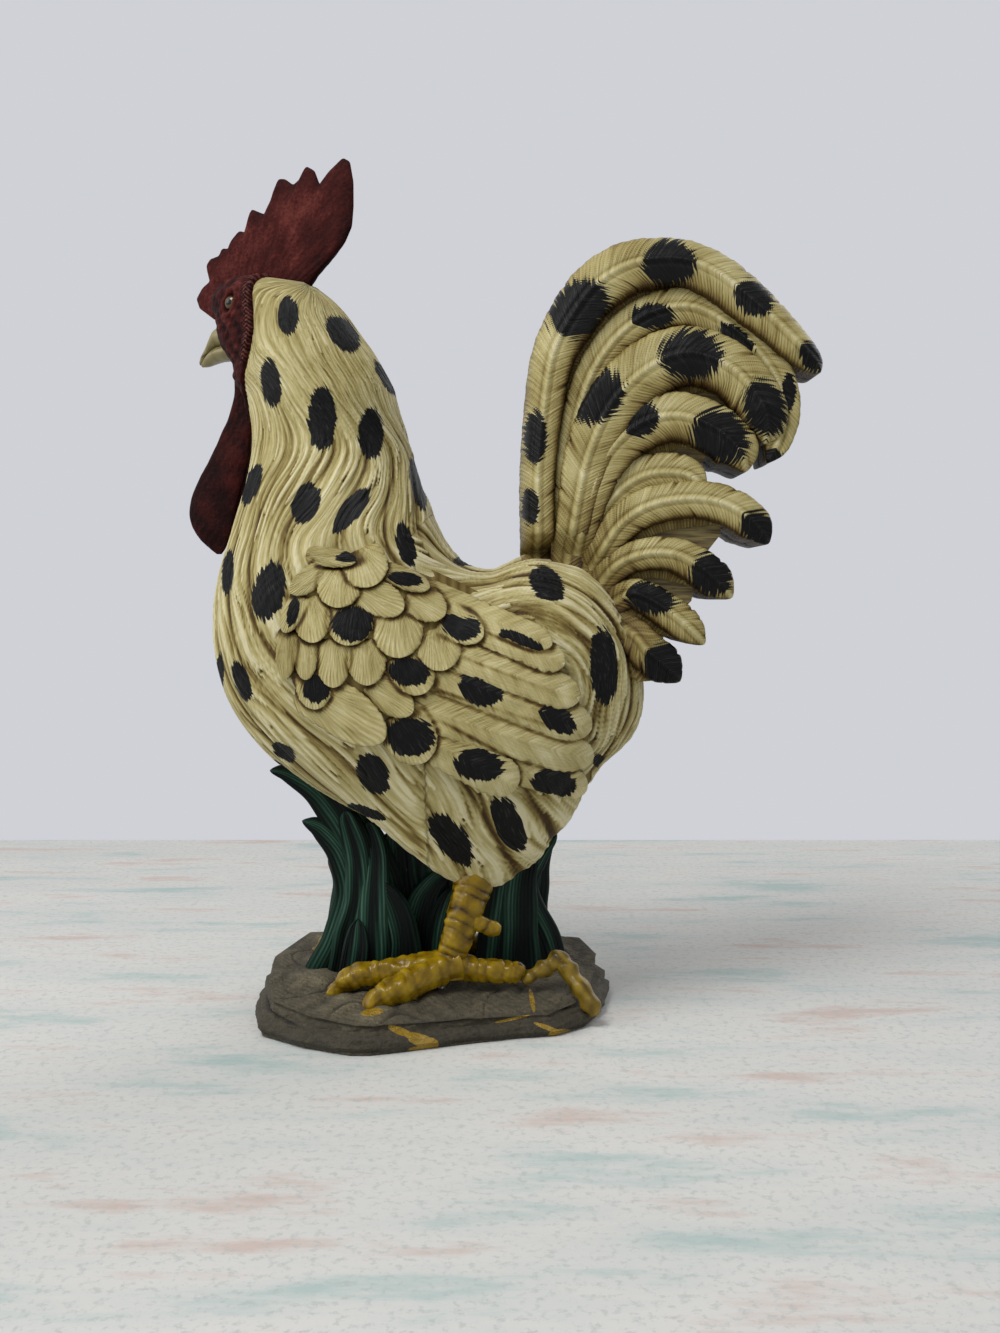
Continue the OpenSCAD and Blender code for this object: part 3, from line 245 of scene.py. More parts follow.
width_shares = [
    (-28.6, 0.08), (-27.6, 0.20), (-26, 0.30), (-23, 0.38), (-18, 0.42), (-12, 0.43), (-5, 0.44), (0, 0.46),
    (8, 0.50), (16, 0.57), (24, 0.66), (32, 0.76), (40, 0.86), (48, 0.93), (56, 0.98), (64, 1.0), (72, 1.0),
    (80, 0.99), (88, 0.95), (94, 0.90), (100, 0.83), (105, 0.75), (110, 0.64), (114, 0.48), (116.5, 0.28),
    (117.6, 0.08),
]


def joined(*parts):
    """Arrays of parts that fit one another, as one array whose last axis runs through them."""
    return np.stack(np.broadcast_arrays(*parts), -1)


def full_turn(count, start=0.0):
    """Angles spread evenly over one turn."""
    return start + np.linspace(0, 2 * np.pi, count, endpoint=False)


def powered(v):
    """Makes a circle's cosine or sine that of a slightly squared round."""
    return np.sign(v) * np.abs(v) ** (2 / squareness)


def eased(v):
    """Rises smoothly from 0 to 1."""
    v = clamp(v)
    return v * v * (3 - 2 * v)


def bell(v, middle, width, power=2):
    """1 at the middle, falling off evenly on both sides; a higher power makes its top flatter."""
    return np.exp(-(((v - middle) / width) ** power))


def skin(a, t):
    """Points of the skin. At fan angle a it is a squared round between the back's and the front's distance from
    the fan's centre, with the thighs swelling below. Above the shoulders it turns about the neck's line."""
    back, front = body_reach * curve(back_shares, a), body_reach * curve(front_shares, a)
    out, side = powered(np.cos(t)), powered(np.sin(t))
    left_thigh, right_thigh, thigh_span = 85.5, 81.0, 11
    thigh = bell(a, np.where(side < 0, left_thigh, right_thigh), thigh_span)
    swell = thigh_drop * thigh * bell(np.abs(side), 0.5, 0.3)
    r = (back + front) / 2 + (front - back) / 2 * out + np.maximum(out, 0) * swell
    x, z = fan_x - r * np.cos(np.radians(a)), fan_z - r * np.sin(np.radians(a))
    y = body_half_w * curve(width_shares, a) * side
    turn = head_turn * eased((z - fan_z + 0.15 * body_reach) / (0.25 * body_reach))
    d = x - neck_x
    return joined(neck_x + d * np.cos(turn) + y * np.sin(turn), y * np.cos(turn) - d * np.sin(turn), z)


def lot(*marks):
    """A fixed chance number from 0 to 1 for each set of whole numbers."""
    mixed = sum(m * k for m, k in zip(marks, (12.9898, 78.233, 37.719, 93.989)))
    return np.mod(np.sin(mixed) * 43758.5453, 1.0)


def ripple(p, size, seed):
    """Soft unevenness from -1 to 1: five sine waves of about that size in mm, in chance directions."""
    rng = np.random.default_rng(seed)
    total = 0
    for _ in range(5):
        d = rng.normal(size=3)
        d *= 2 * np.pi / size * rng.uniform(0.7, 1.4) / np.linalg.norm(d)
        total = total + np.sin(p @ d + rng.uniform(0, 6.28))
    return total / 3


def tiled(across, run, length, seed):
    """Relief from 0 to 1 of pointed hackles that lie like tiles, and a number that differs from one to the next.
    Across counts columns and run gives the way in mm down a column. In each of three staggered layers a hackle
    rises from root to tip, is rounded across and narrows to a point, and the highest layer shows."""
    relief, which = np.zeros(across.shape), np.zeros(across.shape)
    for layer in range(3):
        place = across + layer / 3
        column = np.floor(place)
        u = 2 * (place - column) - 1
        chance = lot(column, layer + seed, 1)
        way = run(column, layer) / (length * (0.75 + 0.5 * chance)) + 7 * lot(column, layer + seed, 2)
        s = way - np.floor(way)
        own = lot(column, layer + seed, np.floor(way))
        wide = np.minimum(1, 1.35 * (1 - s) ** 0.55) * (0.8 + 0.2 * own)
        high = (0.35 + 0.65 * s) * np.sqrt(clamp(1 - (u / wide) ** 2)) * (0.75 + 0.25 * own)
        high = high * (1 - 0.10 * np.cos(u * 9.4) ** 2)
        which = np.where(high > relief, own, which)
        relief = np.maximum(relief, high)
    return relief, which


# Way in mm along the fan down each column of hackles, in each of the three layers.
hackle_columns = 48
fan_angles = np.linspace(fan_first, fan_last, 700)
fan_step = fan_angles[1] - fan_angles[0]
back, front = (curve(shares, fan_angles[:, None]) for shares in (back_shares, front_shares))
runs = []
for layer in range(3):
    t = 2 * np.pi * (np.arange(hackle_columns) + 0.5 - layer / 3) / hackle_columns
    r = body_reach * (back + front + (front - back) * powered(np.cos(t))) / 2
    runs.append(np.cumsum(r * np.radians(fan_step), 0))
rump_x, rump_z, rump_core = fan_x, fan_z - 0.595 * body_reach, 0.162 * body_reach


def locks(p, a, t):
    """Counts the locks of plumage across the fan, round the rump and across the thigh, gives how far the skin has
    passed over to the last two, and the depth of the grooves between locks: one less the sine of the count raised
    to 0.7."""
    x, y, z = np.moveaxis(p, -1, 0)
    waves = 0.45 * np.sin(np.radians(6 * a + 126 * np.cos(t) + 34)) * eased((a + 10) / 30)
    fan = 16 * t / (2 * np.pi) + waves
    rump = 6 * np.arctan2(y, np.hypot(x - rump_x, z - rump_z) - rump_core) / np.pi
    thigh = (0.88 * x + 0.47 * z) / (0.1 * body_reach)
    blend = 0.076 * body_reach
    to_rump = eased((x + 0.55 * (z - rump_z) - blend) / (0.065 * body_reach)) * eased((a - 46) / 14)
    below, behind = fan_z - 0.69 * body_reach - z - 0.35 * (x - fan_x), x + 0.045 * body_reach
    to_thigh = eased(below / blend) * eased(behind / blend)
    grooves = [1 - np.abs(np.sin(np.pi * count)) ** 0.7 for count in (fan, rump, thigh)]
    upper = grooves[0] + (grooves[1] - grooves[0]) * to_rump
    cut = 1.8 * eased((a + 10) / 46) * (upper + (grooves[2] - upper) * to_thigh)
    return fan, rump, thigh, to_rump, to_thigh, cut


def hackles(p, a, t):
    """Relief of the skin's hackles, a number for each, streak places in mm, and the grooves between locks. They
    run along the fan in slow waves on neck and breast, round a centre under the wing's rear end on the rump, and
    down and back on the thighs. Each lock holds three columns of them."""
    x, y, z = np.moveaxis(p, -1, 0)
    fan, rump, thigh, to_rump, to_thigh, cut = locks(p, a, t)
    fan_across = 3 * fan + 0.3 * ripple(p, 30, 5)
    rump_across = 3 * rump + 0.3 * ripple(p, 26, 8)
    thigh_across = 3 * thigh + 0.3 * ripple(p, 30, 9) + 0.03 * np.abs(y)
    about = np.pi - np.arctan2(z - rump_z, x - rump_x)
    down_thigh = 0.47 * x - 0.88 * z

    def down_fan(column, layer):
        """Way along a column of the fan, between two of its stored steps."""
        row = (a - fan_first) / fan_step
        low = np.clip(row.astype(int), 0, len(fan_angles) - 2)
        k = np.mod(column, hackle_columns).astype(int)
        return runs[layer][low, k] + (runs[layer][low + 1, k] - runs[layer][low, k]) * (row - low)

    def round_rump(column, layer):
        """Way round the rump's centre at a column's distance from it."""
        return about * (rump_core + 34 * np.cos((column + 0.5) * np.pi / 18))

    def chosen(on_fan, on_rump, on_thigh):
        """Each place's value from the field it lies in."""
        return np.where(to_thigh > 0.5, on_thigh, np.where(to_rump > 0.5, on_rump, on_fan))

    fan, fan_own = tiled(fan_across, down_fan, 44, 1)
    rump, rump_own = tiled(rump_across, round_rump, 46, 21)
    thigh, thigh_own = tiled(thigh_across, lambda column, layer: down_thigh, 34, 43)
    relief = fan + (rump - fan) * to_rump
    relief = relief + (thigh - relief) * to_thigh
    streak = joined(5.5 * chosen(fan_across, rump_across, thigh_across), chosen(a * 2, about * 60, down_thigh))
    return relief, chosen(fan_own, rump_own, thigh_own), streak, cut


def unit(v):
    """Directions of length 1."""
    return v / np.maximum(np.linalg.norm(v, axis=-1, keepdims=True), 1e-9)


def normals(p, wrap):
    """Normals of a grid of points from the differences between neighbours; wrap where its columns close round."""
    across = np.roll(p, -1, 1) - np.roll(p, 1, 1) if wrap else np.gradient(p, axis=1)
    return unit(np.cross(np.gradient(p, axis=0), across))


# The black spots: centre pixel in the photograph, half width and half height in pixels, lean in degrees.
body_spots = [
    (288, 316, 11, 19, 0), (343, 334, 13, 22, -40), (385, 378, 5, 20, -30), (271, 384, 10, 25, -8),
    (322, 418, 14, 33, 0), (371, 434, 13, 26, 0), (418, 484, 7, 28, -12), (252, 484, 8, 22, 20),
    (306, 503, 14, 21, 20), (351, 510, 10, 28, 38), (406, 545, 9, 23, -15), (467, 561, 14, 5, 0),
    (228, 572, 6, 23, 5), (269, 591, 16, 31, 14), (220, 674, 4, 20, 0), (242, 681, 8, 21, -18),
    (229, 710, 4, 8, -20), (284, 752, 7, 14, -55), (276, 766, 5, 20, -55), (373, 774, 15, 22, -30),
    (367, 812, 5, 21, -70), (451, 839, 15, 32, -38), (509, 824, 14, 30, -25), (547, 584, 15, 21, -45),
    (604, 667, 14, 38, -3), (599, 761, 6, 7, 0),
]


def spotted(p, n, table, far_shift=9.0, sides=(-1, 1)):
    """How deep each point lies inside the nearest spot: 1 at its centre, 0 on its edge. A spot is a leaning oval
    as the camera sees it, kept to a ball round the nearest place on its sight line so that it doesn't show
    through. The far side has the same spots, shifted."""
    mm_per_px, far, same_px, reach_px, middle_gap = 0.387, 1e4, 4, 40, 13
    flat, facing = p.reshape(-1, 3), n.reshape(-1, 3)
    inside = np.full(len(flat), no_spot)
    for k, (cx, cy, half_w, half_h, lean) in enumerate(table):
        for side in sides:
            q = flat * (1, -side, 1)
            px, py = seen_at(q)
            shift = far_shift * (side > 0)
            dx, dy = px - (cx + shift * np.sin(2.3 * k + 1)), py - (cy + shift * np.cos(1.7 * k))
            gap = np.hypot(dx, dy) + np.where(facing[:, 1] * side > -0.15, 0, far)
            near = np.argmin(np.where(gap < gap.min() + same_px, q[:, 1], far))
            if gap[near] > reach_px or (side > 0 and abs(flat[near, 1]) < middle_gap):
                continue
            c, s = np.cos(np.radians(lean)), np.sin(np.radians(lean))
            oval = np.hypot((dx * c + dy * s) / half_w, (dy * c - dx * s) / half_h)
            ball = np.linalg.norm(flat - flat[near], axis=1) / (mm_per_px * 1.7 * max(half_w, half_h) + 3)
            inside = np.maximum(inside, 1 - np.maximum(oval, ball))
    return inside.reshape(p.shape[:2])


def put_mesh(name, grids):
    """One mesh from closed shells. Each shell is a grid of points in mm whose columns close round and whose end
    rows are closed by a fan; its extra values go to the mesh's attributes and its streak places to a UV map."""
    points, loops, counts, streaks = [], [], [], []
    extras, base = {"hollow": [], "spot": [], "own": []}, 0
    for grid in grids:
        p = grid["points"]
        n, m = p.shape[:2]
        i, k = np.meshgrid(np.arange(n - 1), np.arange(m), indexing="ij")
        a, b = base + i * m + k, base + i * m + (k + 1) % m
        quads = np.stack([a, b, b + m, a + m], -1).reshape(-1, 4)
        k = np.arange(m)
        first, last = base + n * m, base + n * m + 1
        row = base + (n - 1) * m
        caps = np.concatenate([
            np.stack([np.full(m, first), base + (k + 1) % m, base + k], -1),
            np.stack([np.full(m, last), row + k, row + (k + 1) % m], -1),
        ])
        down, round_it = (p[1:] - p[:-1]).reshape(-1, 3), (np.roll(p, -1, 1) - p)[:-1].reshape(-1, 3)
        if np.einsum("ij,ij->", p[:-1].reshape(-1, 3) - p.mean((0, 1)), np.cross(round_it, down)) < 0:
            quads, caps = quads[:, ::-1], caps[:, ::-1]
        points += [p.reshape(-1, 3), p[:1].mean(1), p[-1:].mean(1)]
        loops += [quads.ravel(), caps.ravel()]
        counts += [np.full(len(quads), 4), np.full(len(caps), 3)]
        for key in extras:
            v = np.broadcast_to(grid.get(key, no_spot if key == "spot" else 0.0), (n, m))
            extras[key] += [v.ravel(), [v[0].mean()], [v[-1].mean()]]
        v = np.broadcast_to(grid.get("streak", 0.0), (n, m, 2))
        streaks += [v.reshape(-1, 2), v[:1].mean(1), v[-1:].mean(1)]
        base += n * m + 2
    points, loops, counts = np.concatenate(points), np.concatenate(loops), np.concatenate(counts)
    mesh = bpy.data.meshes.new(name)
    mesh.vertices.add(len(points))
    mesh.vertices.foreach_set("co", (points / 1000).ravel())
    mesh.loops.add(len(loops))
    mesh.loops.foreach_set("vertex_index", loops.astype(np.int32))
    mesh.polygons.add(len(counts))
    mesh.polygons.foreach_set("loop_start", (np.cumsum(counts) - counts).astype(np.int32))
    mesh.update(calc_edges=True)
    mesh.polygons.foreach_set("use_smooth", np.ones(len(counts), bool))
    for key, values in extras.items():
        values = np.concatenate(values).astype(np.float32)
        mesh.attributes.new(key, "FLOAT", "POINT").data.foreach_set("value", values)
    uv = mesh.uv_layers.new(name="streak")
    uv.data.foreach_set("uv", (np.concatenate(streaks)[loops] / 100).astype(np.float32).ravel())
    mesh.validate()
    return added(name, mesh)


def dress(stem, paint, slot, *shells, replaced=""):
    """Puts a piece made of closed shells in place of its CAD node on the one body, and gives it its paint. The
    node is named like the piece unless another is given."""
    piece = put_mesh(stem + "_dressed", shells)
    piece.data.materials.append(paint)
    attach(piece, "root")
    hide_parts(replaced or stem)


def feather_paint():
    """Ivory with tan and brown streaks along the feathers, brown wash and painted shade where it is hollow, a
    paler painted highlight where it stands proud, and black spots whose edges fray along the strands."""
    paint = Paint("feather_paint")
    hair, fine, broad = (paint.noise(scale, 3, uv="streak") for scale in ((230, 16, 1), (95, 9, 1), (30, 5, 1)))
    cloudy, speck = paint.noise(55.0, 4), paint.noise(420.0, 2)
    wash_and_shade = paint.summed(paint.held("hollow"), (broad, 0.42), (fine, 0.42), (cloudy, 0.40), (hair, 0.25))
    pale, dark = [(0.24, "ddd3ab"), (0.33, "c4b884"), (0.43, "aa9c65")], [(0.66, "503c1c"), (0.88, "2b1c0c")]
    ivory = paint.ramp(paint.times(wash_and_shade, 0.5), *pale, (0.52, "84723f"), *dark)
    frayed = paint.summed(paint.held("spot"), (fine, 0.75), (hair, 0.35))
    coal = paint.mix(paint.between(hair, 0.56, 0.72, 0.8), tone("070707"), tone("383835"))
    colour = paint.mix(paint.between(frayed, 0.53, 0.57), ivory, coal)
    bumps = [(fine, 0.75, 0.0010), (hair, 0.6, 0.0005), (speck, 0.25, 0.0005)]
    return paint.done(colour, 0.45, 0.17, bumps=bumps)


cream_paint = feather_paint()
# The red face's rear line: height from the crown, place along the head.
face_rear = [
    (-64.0, -17.0), (-50.0, -15.5), (-38.0, -14.0), (-31.0, -11.5), (-25.0, -9.0), (-18.0, -7.6), (-2.3, -9.6),
    (18.0, -9.6),
]


def face_gap(dx, z):
    """How far a place on the head lies inside the red face: ahead of its rear line and above the chin."""
    return np.minimum(curve(face_rear, z - crown_z) - dx, z - crown_z + 61)


def face_side(p):
    """1 on the red face and 0 off it, with a short slope between, and the place along, across and up the head."""
    c, s = np.cos(head_turn), np.sin(head_turn)
    d, y, z = p[..., 0] - neck_x, p[..., 1], p[..., 2]
    dx, across = d * c - y * s, d * s + y * c
    return eased(face_gap(dx, z) / 1.1 + 0.5), dx, across, z


def drawn_back(p):
    """The front of the head set back by up to 4.2 mm between the comb's foot and the chin, under the brow."""
    dx, z = face_side(p)[1], p[..., 2] - crown_z
    much = 4.2 * eased((-dx - 5) / 9) * eased((-4 - z) / 8) * eased((z + 37) / 8)
    return p + much[..., None] * np.array([np.cos(head_turn), -np.sin(head_turn), 0])


def outward(p, a, t):
    """Normals of the skin, turned away from the point across the section."""
    n = normals(p, True)
    return n * np.sign(np.sum(n * (p - skin(a, t + np.pi)), -1).mean())


def sunk(height, reach):
    """How far each place of a grid lies below the mean of its neighbours within a number of columns and rows."""
    wide = sum(np.roll(height, k, 1) for k in range(-reach, reach + 1)) / (2 * reach + 1)
    long = np.pad(wide, ((reach, reach), (0, 0)), mode="edge")
    return sum(long[k : k + len(height)] for k in range(2 * reach + 1)) / (2 * reach + 1) - height


def carved_skin(rows, past):
    """The skin with its hackles and the grooves between locks pushed in along the normal, ever deeper from the
    head to the shoulders. Rows past the neck joint on the side of the other casting, below it (1) or above it
    (-1), sink under that one."""
    a, t = np.meshgrid(rows, full_turn(380, -np.pi), indexing="ij")
    p = skin(a, t)
    on_head_rows = a < 31
    p = np.where(on_head_rows[..., None], drawn_back(p), p)
    n = outward(p, a, t)
    relief, own, streak, cut = hackles(p, a, t)
    depth = 0.5 + 0.9 * eased((a + 8) / 46) + 0.2 * ripple(p, 60, 3)
    strands = 0.13 * np.sin(2 * np.pi * streak[..., 0] / 2.75 + 1.5 * np.sin(streak[..., 1] / 8 + 5 * own))
    height = depth * (relief - 0.85) + strands - 0.8 * cut
    red, seat_depth = np.where(on_head_rows, face_side(p)[0], 0.0), 1.4
    p = p + n * (height * (1 - red) - seat_depth * red)[..., None]
    # Brown wash and painted shade: darker where the skin sinks below its neighbours, in the grooves and between
    # hackles; where it stands proud the value falls below 0 and gives a painted highlight.
    hollow = 0.9 * sunk(height, 4) + 0.13 * cut + 0.3 * clamp(0.5 - relief)
    hollow = hollow + 0.08 * ripple(p, 45, 17) - 0.05 * own
    sink = 0.3 * np.clip((a - joint_angle) * past, 0, 2)[..., None]
    spot = spotted(p, n, body_spots)
    return {"points": p - n * sink, "hollow": np.clip(hollow, -0.3, 0.9), "spot": spot, "streak": streak}


joint_overlap, last_row = 2.2, 113
rump_rows = fan_last - (fan_last - last_row) * (1 - np.linspace(0, 1, 22)) ** 2
torso_rows = np.concatenate([
    joint_angle - np.linspace(joint_overlap, 0, 8)[:-1], np.linspace(joint_angle, last_row, 218)[:-1], rump_rows,
])
dress("torso", cream_paint, "cream_paint", carved_skin(torso_rows, -1))


# Neck and head: the upper casting, carved and painted like the torso that it is plugged into.
crown_end = -23
crown = (fan_first + (crown_end - fan_first) * np.linspace(0, 1, 26) ** 2)[:-1]
neck_rows = np.concatenate([
    crown, np.linspace(crown_end, joint_angle, 212), joint_angle + np.linspace(0, joint_overlap, 8)[1:],
])
dress("neck", cream_paint, "cream_paint", carved_skin(neck_rows, 1), replaced="neck_and_head")


# Face: a red patch seated on the head, wrinkled, with a raised ring round each eye and a ribbed rear edge.
# It, the comb, beak, eyes and wattles are turned with the head about the neck's upright line.
head_len, head_h = 0.4 * body_reach, 0.243 * body_reach


def on_head(dx, y, z):
    """Turns places given along, across and up the head by the head's turn about the neck line."""
    c, s = np.cos(head_turn), np.sin(head_turn)
    return joined(neck_x + dx * c + y * s, y * c - dx * s, z)


face_rows = np.concatenate([crown, np.linspace(crown_end, 12, 180)])
a, t = np.meshgrid(face_rows, full_turn(280, -np.pi), indexing="ij")
p = drawn_back(skin(a, t))
red, dx, across, z = face_side(p)
eye_dx, eye_z, eye_d = -0.26 * head_len, crown_z - 0.19 * head_h, 6.4
from_eye = np.hypot((dx - eye_dx - 0.3 * (z - eye_z)) / 0.66, (z - eye_z) / 0.95)
ring = 0.9 * bell(from_eye, 4.7, 1.0) + 0.45 * bell(from_eye, 7.2, 0.8) - 1.2 * bell(from_eye, 0, 3.2, 4)
wrinkle = 0.28 * ripple(p * (1, 1, 1.7), 5.5, 71) + 0.16 * ripple(p, 2.4, 72)
inset = face_gap(dx, z) - 2.0
rib = bell(inset, 0, 2.0, 4) * eased((z - crown_z + 36) / 8)
rib_cut = np.sin(2 * np.pi * (z + 0.9 * np.abs(inset)) / 1.5)
relief = 0.9 * red - 2.6 * (1 - red) + red * (ring + wrinkle * (1 - rib) + rib * (0.35 + 0.24 * rib_cut))
# Painted shade darkens the face's low places; the raised eye rings, wrinkles and ribs are paler, a painted
# highlight, and the ribs and wrinkles take a pinkish painted highlight.
face = {
    "points": p + outward(p, a, t) * relief[..., None],
    "hollow": clamp(0.42 - 0.8 * (ring + wrinkle) - 0.45 * rib * rib_cut),
    "own": clamp(0.25 + 0.8 * rib * (rib_cut > 0.1) + 0.5 * wrinkle),
}


def maroon_paint():
    """Dark maroon with a fine pebbled skin, darker in its hollows with painted shade, and with a pinkish painted
    highlight where the mesh says so.
    """
    paint = Paint("maroon_paint")
    pebbles, cloud = paint.noise(900.0, 4, 0.6), paint.noise(90.0, 4)
    depth = paint.times(paint.summed(paint.held("hollow"), (cloud, 0.7), (pebbles, 0.8)), 0.65)
    maroon = paint.ramp(depth, (0.38, "66302a"), (0.60, "421815"), (0.90, "1c0807"))
    pink_highlight = paint.between(paint.times(pebbles, paint.held("own")), 0.26, 0.55, 0.45)
    return paint.done(paint.mix(pink_highlight, maroon, tone("8c5f56")), 0.6, 0.06, bumps=[(pebbles, 0.6, 0.0007)])


red_paint = maroon_paint()
dress("face", red_paint, "maroon_paint", face)


# Comb: a flat toothed blade let into a groove along the head. It thins towards its rim, and low
# ridges run up into the teeth.
comb_len, comb_h, comb_t = 74.0, 45.0, 5.0
comb_rim_shares = [
    (-0.62, -0.11), (-0.64, -0.03), (-0.60, 0.06), (-0.55, 0.11), (-0.55, 0.15), (-0.57, 0.25), (-0.55, 0.30),
    (-0.49, 0.32), (-0.47, 0.38), (-0.43, 0.37), (-0.41, 0.44), (-0.36, 0.51), (-0.32, 0.49), (-0.28, 0.68),
    (-0.20, 0.62), (-0.15, 0.75), (-0.11, 0.90), (-0.07, 0.89), (-0.02, 0.83), (0.02, 0.87), (0.06, 0.97),
    (0.11, 0.92), (0.14, 0.80), (0.20, 0.90), (0.28, 0.99), (0.32, 0.95), (0.34, 0.78), (0.34, 0.58),
    (0.33, 0.42), (0.29, 0.30), (0.21, 0.17), (0.13, 0.06), (0.06, -0.08),
]
comb_seat_shares = [(0, -0.50, -0.24), (0.25, -0.42, -0.14), (0.6, -0.20, -0.10), (1.0, -0.04, -0.12)]


def along_line(corners, count):
    """Evenly spaced points along a line through corners, and how far along each one is, from 0 to 1."""
    corners = np.array(corners, float)
    way = np.concatenate([[0], np.cumsum(np.linalg.norm(np.diff(corners, axis=0), axis=1))])
    u = np.linspace(0, way[-1], count)
    return np.stack([np.interp(u, way, c) for c in corners.T], -1), u / way[-1]


def comb_shell():
    """For each place along its rim a line runs down to the seat; along that line the half thickness falls from
    the seat to a rounded rim, and shallow ridges and pebbles follow it."""
    rim, u = along_line(np.array(comb_rim_shares) * (comb_len, comb_h), 420)
    smooth = np.ones(5) / 5
    rim[2:-2] = np.stack([np.convolve(c, smooth, "valid") for c in rim.T], -1)
    at, *seat = np.array(comb_seat_shares).T
    seat = np.stack([np.interp(u, at, c) for c in seat], -1) * (comb_len, comb_h)
    rise = np.sin(np.linspace(0, np.pi / 2, 34))
    v = np.concatenate([rise, rise[-2::-1]])
    side = np.sign(np.arange(len(v)) - 33.0)
    flat = seat[:, None] + (rim - seat)[:, None] * v[None, :, None]
    thick = comb_t / 2 * (1.1 - 0.45 * v) * np.sqrt(clamp(1 - v**8)) * (side != 0)
    tall = np.linalg.norm(rim - seat, axis=1)[:, None]
    ridge = 0.07 * np.sin(u[:, None] * 95 + 3 * v) * np.sin(np.pi * v) * clamp(tall / 30)
    p = on_head(flat[..., 0], side * (thick + ridge), crown_z + flat[..., 1])
    pebble = 0.10 * ripple(p, 2.6, 31) + 0.14 * ripple(p, 10, 32)
    p = on_head(flat[..., 0], side * (thick + ridge + pebble * (v < 0.98)), crown_z + flat[..., 1])
    to_rim, to_rear = clamp(v - 0.80) / 0.20, clamp(u[:, None] - 0.62) / 0.38
    # Raised ridges and pebbles are paler, a painted highlight; the comb is also darker towards its rim and its
    # rear.
    hollow = 0.10 + 0.30 * to_rim - 0.5 * ridge - 0.5 * pebble + 0.45 * to_rear
    return {"points": p, "hollow": clamp(hollow), "own": 0.35 * clamp(1 - v) + 0.1}


dress("comb", red_paint, "maroon_paint", comb_shell())


# Beak: two horn-coloured halves let into the face, the upper one hooked, each with a low ridge along its top.
# Table rows: share of the way forwards, centre height, half height and half width in shares of beak_h.
beak_len, beak_h = 14.0, 12.0
upper_beak_shares = [
    (-0.25, 0.38, 0.33, 0.46), (0, 0.40, 0.36, 0.48), (0.35, 0.38, 0.32, 0.42), (0.52, 0.22, 0.26, 0.34),
    (0.7, -0.01, 0.20, 0.24), (0.9, -0.24, 0.15, 0.16), (1.0, -0.35, 0.08, 0.08),
]
lower_beak_shares = [
    (-0.25, -0.12, 0.23, 0.45), (0, -0.12, 0.25, 0.47), (0.3, -0.14, 0.24, 0.42), (0.55, -0.22, 0.22, 0.33),
    (0.75, -0.33, 0.17, 0.22), (0.93, -0.43, 0.07, 0.09),
]


def beak_half(rows):
    """Ovals carried forwards from the face: centre height, half height and half width are smooth curves of the
    way forwards, and wash has run into the parting of the two halves."""
    u = rows[0][0] + (rows[-1][0] - rows[0][0]) * np.sin(np.linspace(0, np.pi / 2, 60))[:, None]
    t = full_turn(48)
    mid, tall, wide = (curve(rows, u, k) * beak_h for k in (1, 2, 3))
    keel = 0.35 * bell(t, np.pi / 2, 0.35) * clamp(tall / 3)
    beak_z = crown_z - 0.5 * head_h
    up = mid + (tall + keel) * np.sin(t)
    p = on_head(-0.43 * head_len - u * beak_len, wide * np.cos(t), beak_z + up)
    parting = bell(p[..., 2], beak_z + 0.03 * beak_h - 0.25 * u * beak_h, 0.5)
    return {"points": p, "hollow": clamp(0.10 + 0.12 * u + 0.12 * ripple(p, 4, 5) + 0.5 * parting)}


def clouded_paint(name, scale, much, stops, rough, specular, bump):
    """One colour that is deeper in the hollows, clouded and pitted by the same noise."""
    paint = Paint(name)
    cloud = paint.noise(scale, 4)
    colour = paint.ramp(paint.summed(paint.held("hollow"), (cloud, much)), *stops)
    return paint.done(colour, rough, specular, bumps=[(cloud, *bump)])


horn = [(0.35, "8b8055"), (0.65, "73673d"), (1.0, "402f17")]
beak_paint = clouded_paint("horn_paint", 420.0, 0.5, horn, 0.4, 0.5, (0.3, 0.0004))
for name, rows in (("upper_beak", upper_beak_shares), ("lower_beak", lower_beak_shares)):
    dress(name, beak_paint, "beak_paint", beak_half(rows))


# Eyes: balls let into the face, painted with an ochre ring and a dark pupil, and varnished. The paint reads
# the distance to the eye's axis, which the mesh holds as its hollow.
def skin_y(x, z):
    """Distance from the middle plane to the skin: the squared round's height at that distance from the fan's
    centre."""
    a, r = np.degrees(np.arctan2(fan_z - z, fan_x - x)), np.hypot(fan_x - x, fan_z - z)
    back, front = body_reach * curve(back_shares, a), body_reach * curve(front_shares, a)
    s = np.clip(np.abs(2 * r - back - front) / (front - back), 0, 0.999)
    return body_half_w * curve(width_shares, a) * (1 - s**squareness) ** (1 / squareness)


gloss = Paint("eye_gloss")
iris = gloss.ramp(gloss.held("hollow"), (0.36, "0b0806"), (0.42, "62471a"), (0.66, "452f10"), (0.88, "1a0d08"))
eye_paint = gloss.done(iris, 0.16)
eye_y = skin_y(neck_x + eye_dx, eye_z) - 0.3 * eye_d
u, t = np.meshgrid(np.linspace(0.03, np.pi - 0.03, 40), full_turn(48), indexing="ij")
for word, side in both_sides:
    r = eye_d / 2 * np.sin(u)
    p = on_head(eye_dx + r * np.cos(t), side * (eye_y + eye_d / 2 * np.cos(u)), eye_z + r * np.sin(t))
    ball = {"points": p, "hollow": np.where(u < np.pi / 2, np.sin(u), 1.0)}
    dress(word + "eye", eye_paint, "eye_paint", ball)


# Wattles: two flat hanging lobes glued under the chin, pebbled and painted like the comb.
# Table rows: place along the head, share of the way down, half width.
wattle_len, wattle_t = 75.0, 6.0
wattle_shares = [
    (-0.30, 0.0, 0.047), (-0.28, 0.10, 0.052), (-0.275, 0.19, 0.06), (-0.29, 0.29, 0.077),
    (-0.33, 0.40, 0.098), (-0.37, 0.51, 0.125), (-0.42, 0.61, 0.145), (-0.46, 0.70, 0.153),
    (-0.48, 0.78, 0.150), (-0.48, 0.85, 0.132), (-0.47, 0.92, 0.093), (-0.45, 0.97, 0.05),
    (-0.44, 1.0, 0.015),
]


